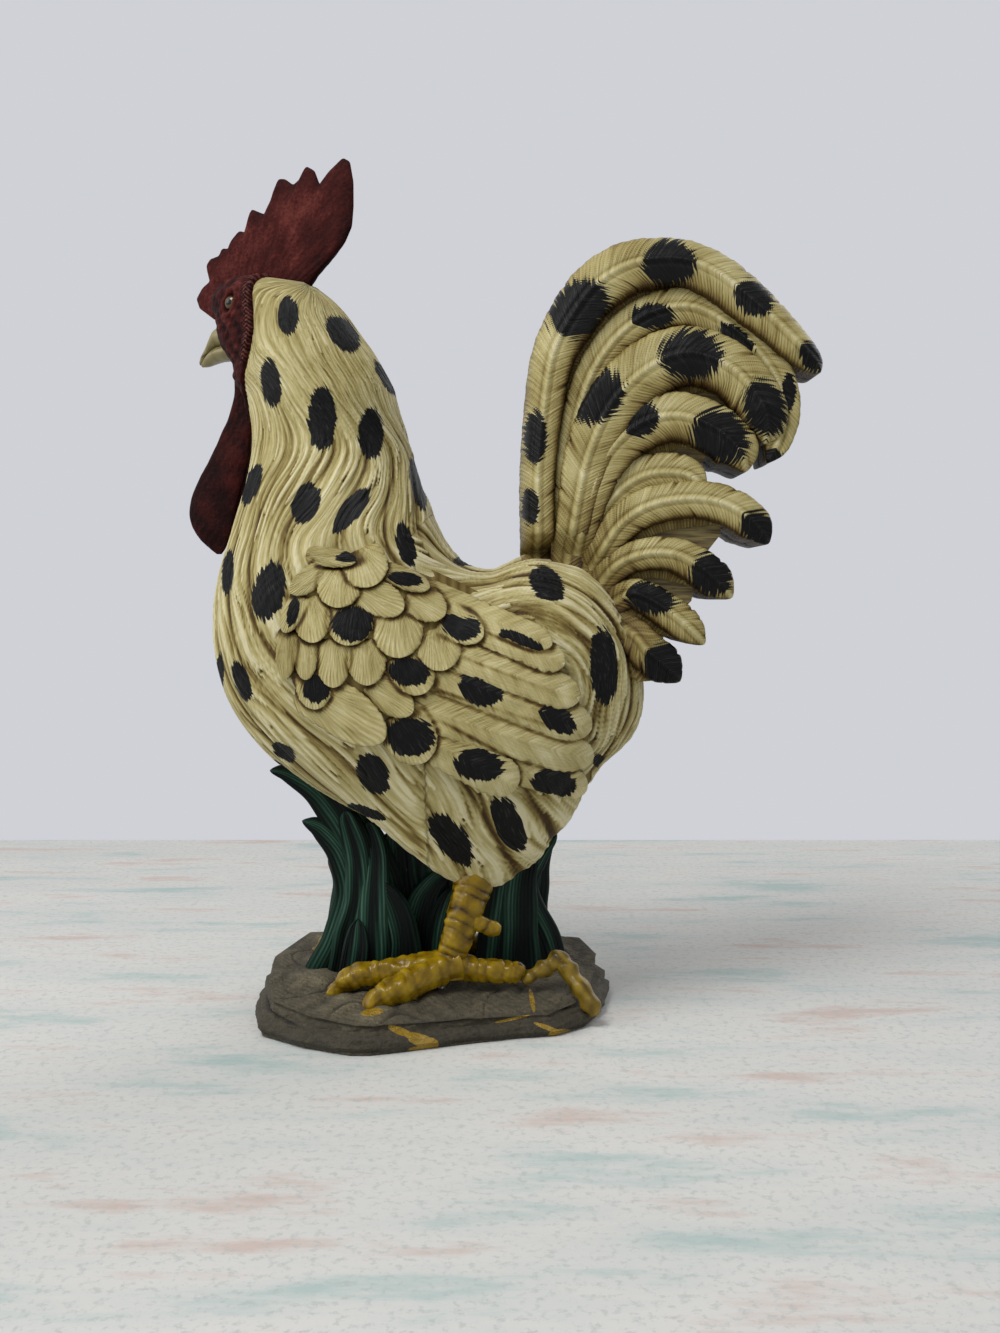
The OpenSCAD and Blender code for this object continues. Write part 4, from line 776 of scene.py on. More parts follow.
def wattle(side):
    """A lobe: at each share v of the way down a flat oval as wide as the table says, its faces pebbled and
    folded."""
    rows = np.array(wattle_shares)[:, [1, 0, 2]]
    tip = 0.86
    tip_rows = tip + (1 - tip) * np.sin(np.linspace(0, np.pi / 2, 24)[1:])
    v = np.concatenate([np.linspace(0, tip, 110), tip_rows])[:, None]
    t = full_turn(72)
    forward, wide = curve(rows, v, 1) * head_len, curve(rows, v, 2) * 0.985 * wattle_len
    bulge = wattle_t / 2 * np.minimum(1, 8 * wide / wattle_len) * np.sin(t) * (1 - 0.18 * np.sin(t) ** 2)

    def hung(bulge):
        """The lobe's points at a distance from its middle plane."""
        y = side * 0.16 * body_half_w + bulge
        return on_head(forward + wide * np.cos(t), y, crown_z - 0.62 * head_h - v * wattle_len)

    p = hung(bulge)
    pebble = 0.12 * ripple(p, 2.8, 41) + 0.2 * ripple(p, 11, 42)
    fold = 0.12 * np.sin(t * 3 + v * 9)
    p = hung(bulge + np.sign(np.sin(t)) * np.abs(np.sin(t)) ** 0.5 * (pebble + fold) * clamp(wide / 4))
    # Darker in the hollows between pebbles and folds and paler on the raised ones: painted shade and painted
    # highlight; a little darker further down.
    return {"points": p, "hollow": clamp(0.46 - 0.6 * pebble - 0.3 * fold + 0.08 * v), "own": 0.10}


for word, side in both_sides:
    dress(word + "wattle", red_paint, "maroon_paint", wattle(side))


# Wings: shells glued on the flanks. Small fan-ribbed coverts lie like tiles over the shoulder, and long
# feathers run back and down from them. Each feather is a closed blade of its own over the wing's bed.
wing_len, wing_depth, wing_t = 112.0, 88.0, 6.0
wing_x, wing_z = -0.281 * body_reach, fan_z - 0.803 * body_reach
wing_shares = [
    (0.0, 0.77, 0.54), (0.05, 0.90, 0.42), (0.12, 0.97, 0.35), (0.2, 1.0, 0.29), (0.3, 1.0, 0.22),
    (0.4, 0.98, 0.16), (0.5, 0.93, 0.11), (0.6, 0.87, 0.07), (0.7, 0.80, 0.04), (0.8, 0.70, 0.01),
    (0.9, 0.54, 0.0), (0.97, 0.36, 0.01), (1.0, 0.20, 0.06),
]
# Feathers of the wing, from the shoulder back and down: shares along wing_len and wing_depth of the root and
# of the tip, then the half width as a share of wing_depth. A feather's outline bends in at a share of its way.
coverts = [
    (0.10, 1.00, 0.24, 0.98, 0.04), (0.13, 0.94, 0.03, 0.85, 0.05), (0.19, 0.93, 0.18, 0.79, 0.09),
    (0.25, 1.00, 0.30, 0.88, 0.09), (0.34, 0.93, 0.47, 0.87, 0.045), (0.26, 0.86, 0.39, 0.78, 0.07),
    (0.41, 0.84, 0.52, 0.76, 0.07), (0.06, 0.83, 0.01, 0.69, 0.045), (0.09, 0.82, 0.11, 0.65, 0.08),
    (0.23, 0.80, 0.21, 0.64, 0.095), (0.37, 0.77, 0.38, 0.59, 0.10), (0.49, 0.69, 0.52, 0.54, 0.09),
    (0.52, 0.75, 0.64, 0.67, 0.07), (0.02, 0.68, 0.01, 0.50, 0.045), (0.08, 0.66, 0.08, 0.50, 0.05),
    (0.17, 0.65, 0.17, 0.47, 0.07), (0.27, 0.65, 0.28, 0.48, 0.08), (0.39, 0.60, 0.46, 0.45, 0.09),
    (0.10, 0.53, 0.11, 0.38, 0.075), (0.29, 0.48, 0.42, 0.37, 0.07), (0.10, 0.45, 0.33, 0.26, 0.11),
    (0.37, 0.35, 0.46, 0.17, 0.11),
]
long_feathers = [
    (0.49, 0.84, 0.86, 0.64, 0.055), (0.56, 0.75, 0.90, 0.56, 0.065), (0.53, 0.62, 0.95, 0.42, 0.075),
    (0.49, 0.54, 0.99, 0.29, 0.085), (0.44, 0.39, 1.00, 0.16, 0.085), (0.45, 0.27, 0.75, 0.06, 0.09),
    (0.68, 0.17, 0.98, 0.03, 0.07),
]
plumes = [(*row, 0.4) for row in coverts] + [(*row, 0.8) for row in long_feathers]
tip_lift, root_reach, root_lift = 3.2, 0.3, 0.25


def beneath_wing(x, z):
    """Bed of the wing: the skin, or where the body falls away a plane that stands out a share of the body's half
    width, less towards the rear."""
    u = (x - wing_x) / wing_len
    return np.maximum(skin_y(x, z), body_half_w * (0.93 - 0.25 * u * u) - wing_t) + 0.3


def wing_edges(u):
    """Height of the wing's lower and upper edge at a share of its length."""
    return [curve(wing_shares, u, k) * wing_depth + wing_z for k in (2, 1)]


def wing_swell(x, z):
    """How thick the wing is over its bed: most along its middle, less at its outline and the shoulder's front."""
    u = clamp((x - wing_x) / wing_len)
    low, top = wing_edges(u)
    v = clamp((z - low) / (top - low))
    return wing_t * (0.25 + 0.75 * np.sin(np.pi * v) ** 0.6) * (0.35 + 0.65 * eased(u * 6))


def bed_top(x, z):
    """Distance from the middle plane to the wing's bed under its feathers: a fifth of its thickness above the
    back, and three tenths of its swell more."""
    return beneath_wing(x, z) + 0.2 * wing_t + 0.3 * wing_swell(x, z)


def laid(plume):
    """Root of a feather in mm, its direction, its length and its half width."""
    u0, v0, u1, v1, half, _ = plume
    way = np.array([(u1 - u0) * wing_len, (v1 - v0) * wing_depth])
    length = np.hypot(*way)
    return wing_x + u0 * wing_len, wing_z + v0 * wing_depth, way / length, length, half * wing_depth


def plume_rise(s):
    """Height of a feather over the bed, rising evenly from its root to its tip."""
    return tip_lift * (root_lift + (1 - root_lift) * np.maximum(0, s))


def on_plume(plume, x, z):
    """Where points lie on a feather: the share of the way from root to tip, how far inside its outline in mm, and
    how high it stands there. The outline runs straight and ends in half an oval beyond the feather's bend."""
    x0, z0, ahead, length, half = laid(plume)
    bend = plume[5]
    s = ((x - x0) * ahead[0] + (z - z0) * ahead[1]) / length
    across = (x - x0) * ahead[1] - (z - z0) * ahead[0]
    inside = (1 - np.hypot(np.maximum(0, (s - bend) / (1 - bend)), across / half)) * half
    return s, inside, np.where(s < -root_reach, -1.0, plume_rise(s))


def facing_out(face, side):
    """Normals of a blade's face, turned away from the middle plane."""
    n = normals(face, False)
    return n * np.sign((n[..., 1] * side).mean())


def blade(face, inner, hollow, spot, streak):
    """A feather's closed shell: its face with wash and painted shade, spots and streak places, and its plain
    hidden inner side.
    """
    pad = ((0, 0), (0, inner.shape[1]))
    return {
        "points": np.concatenate([face, inner], 1),
        "hollow": np.pad(np.clip(hollow, -0.3, 0.95), pad, constant_values=0.9),
        "spot": np.pad(spot, pad, constant_values=no_spot),
        "streak": joined(*(np.pad(v + 0 * spot, pad) for v in streak)),
    }


def wing_feather(rank, side):
    """One feather, a grid from root to tip and across. Coverts bear fine grooves that fan out from their root;
    long feathers have a shaft, slanting barbs and a few notches, and their lower edge stands out. Brown wash and
    painted shade darken it along the outline of each feather that lies over it, near its root and in its grooves,
    and a painted shadow darkens its rim, most along its lower edge."""
    x0, z0, ahead, length, half = laid(plumes[rank])
    bend = plumes[rank][5]
    long = bend > 0.5
    seed = rank * 3.7 + side
    s = (-root_reach + (1 + root_reach) * np.sin(np.linspace(0, np.pi / 2, 62 if long else 46)))[:, None]
    q = np.sin(np.linspace(-np.pi / 2, np.pi / 2, 42 if long else 52))[None]
    mm = s * length
    width = half * np.sqrt(np.clip(1 - np.maximum(0, (s - bend) / (1.0005 - bend)) ** 2, 0.0004, 1))
    wavy = 1 + 0.025 * np.sin(mm * 1.9 + seed) + 0.02 * np.sin(mm * 4.3 + 2 * seed)
    width = width * (1 - 0.4 * eased(-s / root_reach)) * wavy
    if long:
        for cleft in lot(rank, side, np.arange(3)):
            notch = bell(s * length, (0.3 + 0.62 * cleft) * length, 0.55)
            width = width * (1 - 0.16 * notch * (q * (cleft - 0.5) > 0))
    x = x0 + ahead[0] * mm + ahead[1] * q * width
    z = z0 + ahead[1] * mm - ahead[0] * q * width
    lower = q * np.sign(ahead[0])
    if long:
        slope = mm - 1.2 * np.abs(q) * width
        cuts = np.sin(slope * 2 * np.pi / 1.35 + 1.2 * np.sin(mm / 5 + seed))
        shaft = 0.22 * bell(q * width, 0, 0.6)
        shape = 0.35 * lower + 0.06 * cuts * clamp(4 * np.abs(q)) + shaft + 0.3 * (1 - q * q)
        split = clamp(np.sin(slope * 0.61 + 2 * np.sin(mm / 9 + seed)) - 0.93) / 0.07
        shape = shape - 0.3 * split * clamp(np.abs(q) - 0.15)
        streak = (0.5 * slope, q * width * 1.5)
    else:
        turn = np.arctan2(q * width, mm + 0.45 * length) / np.arctan2(half, 1.1 * length)
        phase = np.pi * (6.5 + 1.5 * np.sin(seed)) * turn + 0.35 * np.sin(mm / 1.7 + seed)
        cuts = 0.6 - np.abs(np.sin(phase)) ** 0.6
        shape = 0.42 * cuts * clamp(0.25 + 1.1 * s) + 0.55 * (1 - q * q) * clamp(1.1 - s) - 0.5 * clamp(s - 0.75)
        streak = (6 * turn, 0.8 * mm)
    shape = shape + 0.14 * ripple(joined(x, 0, z), 7, rank)
    high = plume_rise(s) - 5.0 * eased(-s / root_reach)
    bed, rim = bed_top(x, z), np.abs(q)
    face_y = bed + high + shape - 0.9 * (1 - np.sqrt(clamp(1 - rim**9)))
    face, inner = (joined(x, side * y, z) for y in (face_y, np.minimum(bed - 0.9, face_y - 0.4)))
    wash_and_shade_pool = np.zeros(x.shape)
    for plume in plumes[:rank] + plumes[rank + 1 :]:
        s_over, inside, above = on_plume(plume, x, z)
        wash_and_shade_pool = np.maximum(wash_and_shade_pool, bell(inside, -0.25, 0.75) * clamp((above - high) * 1.5 + 0.5) * (s_over > 0))
    own_spots = [row for row, owner in zip(wing_spots, spot_owners) if owner == rank]
    spot = spotted(face, facing_out(face, side), own_spots, 4.0, (side,))
    spot = spot - 2.5 * clamp(rim - 0.93) - 6 * clamp(s - 0.985)
    # Brown wash and painted shade: darker where another feather lies over this one, in the grooves and towards the
    # root, and paler towards the tip; a painted shadow darkens the rim, most along the lower edge.
    hollow = 0.68 * wash_and_shade_pool * (1 + 0.5 * ripple(face, 6, 90)) - 0.1 * s
    hollow = hollow + (0.10 if long else 0.50) * clamp(-cuts - 0.1)
    hollow = hollow + 2.5 * clamp(rim - 0.9) * (0.4 + 0.6 * (lower > 0))
    hollow = hollow + 0.30 * np.clip(0.1 - s, 0, 0.4) + 0.05 * ripple(face, 9, rank + 3)
    return blade(face, inner[:, -2:0:-6], hollow, spot, streak)


wing_spots = [
    (352, 556, 17, 6, -10), (405, 579, 18, 7, 8), (293, 612, 6, 15, 12), (353, 624, 21, 18, 0),
    (461, 626, 20, 14, 12), (521, 644, 25, 10, 27), (316, 689, 14, 14, 0), (409, 672, 21, 14, 8),
    (481, 689, 23, 16, 22), (558, 720, 20, 12, 32), (410, 737, 25, 19, 10), (479, 765, 25, 16, 8),
    (554, 783, 23, 14, 10),
]


def spot_owner(spot):
    """The feather a spot is painted on: the highest one at the spot's middle, found in the plane of the wing's
    face."""
    reach = -camera_at[1] - body_half_w
    up = reach * np.tan(np.arctan((middle_py - spot[1]) / focal_px) - camera_dip)
    x = camera_at[0] + (spot[0] - middle_px) * (reach * np.cos(camera_dip) - up * np.sin(camera_dip)) / focal_px
    found = [on_plume(plume, x, camera_at[2] + up) for plume in plumes]
    return int(np.argmax([high if inside > 0 else -9 for _, inside, high in found]))


spot_owners = [spot_owner(spot) for spot in wing_spots]


def wing_bed(side):
    """The wing's core: along the wing, lines from its lower to its upper edge, whose rim sinks into the flank."""
    u, v = np.linspace(0, 1, 110)[:, None], np.linspace(0, 1, 88)[None]
    low, top = wing_edges(u)
    x, z = wing_x + u * wing_len + 0 * v, low + (top - low) * v
    edge = eased(np.minimum(np.minimum(v, 1 - v) / 0.10, np.minimum(u, 1 - u) / 0.06))
    combed = 0.12 * np.sin((x + 0.9 * z) * 2 * np.pi / 2.3 + 1.5 * np.sin((x - z) / 9))
    back = beneath_wing(x, z)
    face_y = back - 3 + (bed_top(x, z) - back + 3.2 + combed) * edge
    face, inner = (joined(x, side * y, z) for y in (face_y, back - 3.6))
    return {"points": np.concatenate([face, inner[:, -2:0:-8]], 1), "hollow": 0.42 - combed[:, :1]}


for word, side in both_sides:
    feathers = [wing_feather(rank, side) for rank in range(len(plumes))]
    dress(word + "wing", cream_paint, "cream_paint", wing_bed(side), *feathers)


# Tail: nine sickle feathers and coverts on each side of a wedge-shaped core, each a curved blade with
# a raised shaft and slanting barbs, its lower edge standing clear of the one below.
tail_h, core_top_t, core_root_t, feather_t, feather_half_w = 115.0, 9.0, 32.0, 8.0, 10.0
tail_x, tail_z = 0.3027 * body_reach, fan_z - 0.34 * body_reach
# Each feather's middle line from root to tip in shares of tail_h, and its half width as a share; then how far
# each stands out from the core, and how thick its tip is, in shares of feather_t.
feather_shares = [
    [(-0.14, -0.04, 0.62), (-0.14, 0.10, 0.64), (-0.14, 0.29, 0.66), (-0.12, 0.51, 0.73), (-0.09, 0.68, 0.82),
     (-0.03, 0.80, 0.95), (0.05, 0.905, 1.03), (0.15, 0.97, 1.05), (0.25, 0.99, 1.0), (0.35, 0.985, 0.96),
     (0.45, 0.94, 0.97), (0.54, 0.87, 0.95), (0.63, 0.79, 0.84), (0.70, 0.72, 0.74), (0.76, 0.66, 0.6),
     (0.785, 0.625, 0.5)],
    [(-0.06, 0.0, 0.45), (-0.03, 0.36, 0.55), (0.02, 0.58, 0.62), (0.11, 0.73, 0.68), (0.23, 0.82, 0.74),
     (0.37, 0.84, 0.77), (0.50, 0.77, 0.81), (0.59, 0.68, 0.81), (0.645, 0.59, 0.74), (0.66, 0.49, 0.68),
     (0.64, 0.39, 0.5), (0.61, 0.33, 0.2)],
    [(-0.05, -0.02, 0.55), (-0.01, 0.21, 0.74), (0.03, 0.37, 0.93), (0.11, 0.53, 1.05), (0.23, 0.64, 1.14),
     (0.36, 0.68, 1.12), (0.49, 0.63, 1.05), (0.57, 0.54, 1.0), (0.605, 0.46, 0.85), (0.60, 0.39, 0.4)],
    [(-0.03, -0.04, 0.45), (0.03, 0.22, 0.74), (0.09, 0.36, 0.93), (0.19, 0.45, 0.98), (0.31, 0.48, 0.95),
     (0.43, 0.44, 0.97), (0.51, 0.37, 0.88), (0.54, 0.30, 0.4)],
    [(-0.01, -0.05, 0.4), (0.05, 0.13, 0.60), (0.12, 0.23, 0.72), (0.22, 0.29, 0.78), (0.34, 0.29, 0.72),
     (0.41, 0.24, 0.3)],
    [(0.0, -0.07, 0.4), (0.06, 0.03, 0.56), (0.13, 0.13, 0.68), (0.23, 0.19, 0.72), (0.36, 0.21, 0.70),
     (0.47, 0.19, 0.74), (0.56, 0.13, 0.70), (0.61, 0.065, 0.35)],
    [(0.03, -0.11, 0.4), (0.11, -0.01, 0.56), (0.20, 0.03, 0.60), (0.30, 0.03, 0.64), (0.38, -0.01, 0.72),
     (0.44, -0.06, 0.70), (0.49, -0.11, 0.35)],
    [(0.06, -0.16, 0.4), (0.15, -0.10, 0.56), (0.21, -0.11, 0.62), (0.29, -0.16, 0.66), (0.35, -0.21, 0.60),
     (0.40, -0.26, 0.3)],
    [(0.08, -0.18, 0.4), (0.16, -0.22, 0.62), (0.21, -0.28, 0.74), (0.27, -0.33, 0.74), (0.32, -0.38, 0.35)],
]
lift_shares = [0.95, 0.4, 1.0, 0.85, 0.5, 0.8, 0.85, 0.8, 0.8]
tip_shares = [0.55, 0.55, 0.6, 0.7, 1.0, 0.6, 0.6, 0.6, 0.6]
feather_names = [
    "top_sickle", "inner_sickle", "second_sickle", "third_sickle", "fourth_sickle",
    "upper_covert", "middle_covert", "lower_covert", "root_covert",
]
tail_spots = [
    [(535, 437, 12, 27, 0), (530, 507, 9, 19, 0), (580, 309, 33, 28, -35), (669, 263, 27, 25, 0),
     (753, 298, 22, 17, 35), (812, 357, 12, 17, -25)],
    [(653, 316, 22, 13, 0), (736, 338, 22, 10, 38), (789, 392, 7, 19, 0), (773, 458, 11, 9, 0)],
    [(597, 397, 31, 24, -45), (691, 355, 32, 26, 0), (765, 408, 22, 30, -15)],
    [(640, 418, 19, 19, -45), (720, 437, 31, 27, 40)],
    [(592, 485, 15, 20, 25)],
    [(760, 529, 21, 17, 35)],
    [(712, 574, 22, 23, 30)],
    [(650, 598, 26, 16, 10), (709, 614, 6, 6, 0)],
    [(666, 665, 23, 24, 20)],
]


def core_half(z):
    """Half the thickness of the tail's core, which narrows evenly upwards."""
    return (core_root_t + (core_top_t - core_root_t) * (z - tail_z) / tail_h) / 2


def through(rows, at):
    """Smooth values of all columns of a table at row numbers."""
    numbered = np.column_stack([np.arange(len(rows)), rows])
    return [curve(numbered, at, k) for k in range(1, numbered.shape[1])]


def closing(left, reach, whole, least=0.0):
    """1 until reach before a limb's end, then falling like a quarter round; left is the way in mm past its end."""
    return np.sqrt(np.clip(1 - clamp((left + reach) / whole) ** 2, least, 1))


def tail_feather(i, side):
    """A blade carried along a smooth middle line; q is the place across, 1 at its upper edge. Two vanes fall
    gently from a raised quill to crisp edges, slanting barbs and a few clefts are cut in them, and past the lower
    edge a trough, brown with wash and painted shade, runs on towards the next feather. The root sinks into the
    rump and the tip is rounded."""
    rough = np.linspace(0, len(feather_shares[i]) - 1, 400)
    cx, cz = (v * tail_h for v in through(feather_shares[i], rough)[:2])
    way = np.concatenate([[0], np.cumsum(np.hypot(np.diff(cx), np.diff(cz)))])
    length = way[-1]
    s = 1 - (1 - np.linspace(0, 1, int(length / 0.5))) ** 1.12
    cx, cz, wide = through(feather_shares[i], np.interp(s * length, way, rough))
    cx, cz = tail_x + cx * tail_h, tail_z + cz * tail_h
    along = unit(joined(np.gradient(cx), np.gradient(cz)))
    mm = (s * length)[:, None]
    round_mm = min(8.0, 0.2 * length)
    end = closing(mm - length, round_mm, 1.0005 * round_mm, 0.002)
    q = np.concatenate([np.sin(np.linspace(np.pi / 2, -np.pi / 2, 44)), -np.linspace(1.06, 1.5, 8)])[None]
    vane = np.clip(q, -1, 1)
    out = np.abs(vane)
    w = feather_half_w * wide[:, None] * end
    slope = mm - 0.85 * out * w
    cleft = 0
    for c in range(6):
        c_at = length * (0.12 + 0.14 * c + 0.1 * lot(i, side + 3, c))
        on_side = (vane * (1 if lot(i, side + 5, c) > 0.5 else -1)) > 0
        cleft = cleft + bell(slope, c_at, 0.55) * on_side * clamp(out * 1.6 - 0.5)
    edge = 1 + 0.012 * np.sin(mm * 0.8 + 2.3 * i) + 0.010 * np.sin(mm * 2.1 + i + side) - 0.10 * cleft * out**4
    trough = eased((0.80 - s) / 0.2)[:, None] + 0.02
    reach = (vane + (q - vane) * trough) * w * edge
    x, z = cx[:, None] - along[:, 1:] * reach, cz[:, None] + along[:, :1] * reach
    flat, core = joined(x, 0, z), core_half(z)
    thin = np.interp(s, [0, 1 - 14 / length, 1], [1, 1, tip_shares[i]])[:, None] * (0.4 + 0.6 * end)
    t = feather_t * lift_shares[i] * thin
    barb = np.sin(slope * 2 * np.pi / 1.5 + 0.9 * np.sin(mm / 6 + 2.3 * i + side)) * clamp(out * 4 - 0.5)
    quill = 0.5 * bell(reach, 0, 0.8) - 0.4 * bell(np.abs(reach), 1.8, 0.55)
    cross = (1 - 0.22 * out**1.6) * np.sqrt(clamp(1 - out**16))
    seat, root_floor = core, core + 0.12 * t
    if i == 0:
        cross = cross * (1 - 0.5 * clamp(q) ** 3)
        seat, root_floor = core * np.sqrt(clamp(1 - clamp(q) ** 2.6)), 0.4
    relief = quill + 0.10 * barb - 0.8 * cleft + 0.22 * ripple(flat, 14, i)
    face_y = seat + t * (0.2 + 0.8 * cross) + relief * clamp(1.25 - out) * end
    in_trough = np.abs(q) > 1
    face_y = np.where(in_trough, core + t * 0.10 + 0.15 * ripple(flat, 9, i + 20), face_y)
    low = np.maximum(skin_y(x, z) - 3.2, root_floor)
    face_y = np.maximum(face_y + (np.minimum(face_y, low) - face_y) * (1 - eased((mm - 7) / 9)), 0.4)
    face, inner = (joined(x, side * y, z) for y in (face_y, 0.15))
    # Brown wash and painted shade: darker along the edges, most along the lower one, over the lower vane, in the
    # barbs, the clefts and the grooves beside the quill, near the root and in the trough under the feather; the
    # raised quill takes a painted highlight.
    hollow = 0.45 * out**9 * np.where(q < 0, 1, 0.5) + 0.30 * clamp(-barb - 0.25) + 0.6 * clamp(cleft)
    hollow = hollow - 0.22 * quill * (quill > 0) - 0.45 * quill * (quill < 0) + 0.35 * clamp(1 - mm / 30)
    hollow = hollow + 0.34 * clamp(-q) ** 2.2 + 0.07 * ripple(face, 20, i + 40)
    hollow = np.where(in_trough, 0.36 + 0.3 * clamp((1.2 - np.abs(q)) * 4) + 0.12 * barb, hollow)
    waves = ((0.17, 3.3, 2), (0.15, 5.9, 1), (0.10, 1.4, 3))
    tongues = sum(deep * np.sin(slope * often + turn * i) for deep, often, turn in waves)
    spot = spotted(face, facing_out(face, side), tail_spots[i], 6.0, (side,)) + tongues * (0.4 + 0.6 * out)
    spot = np.where(in_trough, no_spot, spot)
    return blade(face, inner[:, -1::-9], hollow, spot, (slope, 0.5 * reach + 0.02 * mm))


for i, name in enumerate(feather_names):
    for word, side in both_sides:
        dress(word + name, cream_paint, "cream_paint", tail_feather(i, side))


# Tail core: the wedge that carries the feathers. The CAD piece stays, in ivory paint under brown wash, in
# fine streaks that run back and up as the feathers do.
def repaint(paint, *names):
    """Gives CAD pieces that stay in sight their paint."""
    for name in names:
        nodes[name].data.materials.clear()
        nodes[name].data.materials.append(paint)


washed = Paint("washed_core")
smears = washed.noise((90, 300, 900), 4, turn=0.75, distortion=0.6)
brown = washed.ramp(smears, (0.35, "493617"), (0.70, "8f8150"))
repaint(washed.done(brown, 0.6, bumps=[(smears, 0.5, 0.0008)]), "tail_core")


# Rock plinth: one cast block with layered, broken edges and a rough top, grey-brown, darkened with painted
# shade in its cracks, splits and below its ledge and paler with a painted highlight on the raised slabs of its
# top, and splashed with ochre where the legs were painted. Its tables give the outline's corners, the edge's
# height at each, and rings: how far out, and how far up the edge and on to the top.
base_len, base_depth, base_h, felt_proud = 140.0, 116.0, 15.0, 0.5
rock_corner_shares = [
    (-0.97, -0.34), (-0.90, -0.65), (-0.65, -0.88), (-0.40, -1.02), (-0.29, -1.02), (-0.12, -0.95),
    (0.11, -0.84), (0.47, -0.69), (0.68, -0.64), (0.85, -0.45), (0.95, -0.16), (1.02, 0.36), (0.92, 0.72),
    (0.57, 0.88), (0.0, 0.93), (-0.50, 0.94), (-0.86, 0.82), (-1.0, 0.14),
]
rock_edge_shares = [
    1.05, 0.85, 0.70, 0.65, 0.62, 0.60, 0.56, 0.50, 0.48, 0.58, 0.75, 1.05, 1.20, 1.15, 1.15, 1.20, 1.25,
    1.20,
]
rock_ring_shares = [
    (0.97, 0.0, 0.0), (1.0, 0.25, 0.0), (0.985, 0.55, 0.0), (0.95, 0.64, 0.0), (0.93, 1.0, 0.0),
    (0.62, 0.3, 0.7), (0.3, 0.0, 1.0), (0.02, 0.0, 1.0),
]


def rock_shell():
    """Rings of one outline from the rock's foot up over its edge to the middle of its top, k counting the rows of
    the table of rings. The sides step back in a ledge and slabs; cracks and a stone lie on the top."""
    edge_h = 40
    outline = np.column_stack([rock_corner_shares, rock_edge_shares]) * (base_len / 2, base_depth / 2, edge_h)
    edge = along_line([*outline, outline[0]], 521)[0][:-1]
    k = np.concatenate([np.linspace(0, 4, 72)[:-1], np.linspace(4, 7, 100)])
    out, part, whole = (np.interp(k, np.arange(8), column)[:, None] for column in np.array(rock_ring_shares).T)
    x, y = edge[:, 0] * out, edge[:, 1] * out
    z = felt_proud + (base_h - felt_proud) * (edge[:, 2] / edge_h * part + whole)
    flat = joined(x, y, z)
    plan = flat * (1, 1, 0)
    coarse, mid = ripple(flat * (1, 1, 2.2), 34, 61), ripple(flat * (1, 1, 2), 13, 62)
    fine = ripple(flat * (1, 1, 1.5), 2.2, 63)
    slab = np.abs(coarse) + 0.5 * np.abs(mid)
    side = (clamp((4.3 - k) / 0.6) * clamp(k / 0.3))[:, None]
    ledge_z = 5.2 + 1.6 * ripple(plan, 40, 64)
    ledge = eased((z - ledge_z) / 1.1)
    split = bell(z, 8.6 + 2.4 * ripple(plan, 48, 65), 0.35) * eased(ripple(plan, 30, 67) * 2 + 0.4)
    inward = side * (1.7 * ledge + 1.1 * slab + 0.05 * fine + 0.9 * split + 0.25 * bell(z, ledge_z, 0.5))
    top = clamp((k - 3.9) / 0.5)[:, None]
    crack = bell(ripple(flat, 46, 66), 0, 0.022) * 0.8
    stone = clamp(1.4 - np.hypot((x + 62) / 7, (y + 15) / 8)) ** 0.5 * (1 + 0.2 * mid)
    z = z + top * (-1.2 + 1.5 * slab + 0.06 * fine - crack + 0.9 * stone)
    radius = np.maximum(np.hypot(x, y), 1)
    # Painted shade darkens the splits, the cracks of the top and the sides below the ledge; a painted highlight
    # makes the raised slabs of the top paler.
    hollow = 0.36 - 0.30 * slab * (1 - side) + 0.10 * side * (1 - ledge) - 0.10 * fine
    hollow = hollow + 0.6 * crack * top + 0.6 * split * side
    return {"points": joined(x - x / radius * inward, y - y / radius * inward, z), "hollow": clamp(hollow)}


def rock_paint():
    """Grey-brown stone, cloudy and gritty, darker in its hollows with painted shade, and ochre where it is
    splashed.
    """
    paint = Paint("stone_paint")
    cloud, grit, pits = paint.noise(60.0, 6, 0.6), paint.noise(700.0, 5, 0.7), paint.noise(210.0, 5, 0.65)
    depth = paint.times(paint.summed(paint.held("hollow"), (cloud, 0.6), (grit, 0.75)), 0.57)
    stone = paint.ramp(depth, (0.28, "857b62"), (0.42, "625a45"), (0.58, "484233"), (0.90, "1b1710"))
    ochre = paint.between(paint.summed(paint.held("spot"), (grit, 0.5)), 0.28, 0.34)
    rough = paint.between(ochre, 0.0, 1.0, 0.25, 0.8)
    colour = paint.mix(ochre, stone, tone("a3821f"))
    return paint.done(colour, rough, bumps=[(grit, 0.7, 0.0012), (pits, 0.8, 0.003)])


splashes = [
    (400, 1031, 14, 4, 22), (422, 1041, 17, 7, 22), (420, 1050, 12, 4, 0), (430, 1044, 9, 7, 0),
    (560, 1033, 12, 4, -8), (532, 1000, 2.5, 14, -10), (548, 1028, 16, 2.5, 20), (512, 1019, 20, 1.5, -12),
    (372, 1012, 12, 4, -8), (325, 962, 18, 3, 8),
]
shell = rock_shell()
n = normals(shell["points"], True)
top_facing = np.sign(n[-50:, :, 2].mean())
shell["spot"] = spotted(shell["points"], n * top_facing, splashes)
dress("rock", rock_paint(), "rock_paint", shell, replaced="rock_base")


# Felt sheet: dark green pad under the rock, standing half a millimetre proud of it. The CAD piece stays.
felt = Paint("felt")
fuzz = felt.ramp(felt.noise(900.0, 4), (0.0, "16261c"), (1.0, "2c4434"))
repaint(felt.done(fuzz, 0.95), "felt_sheet")


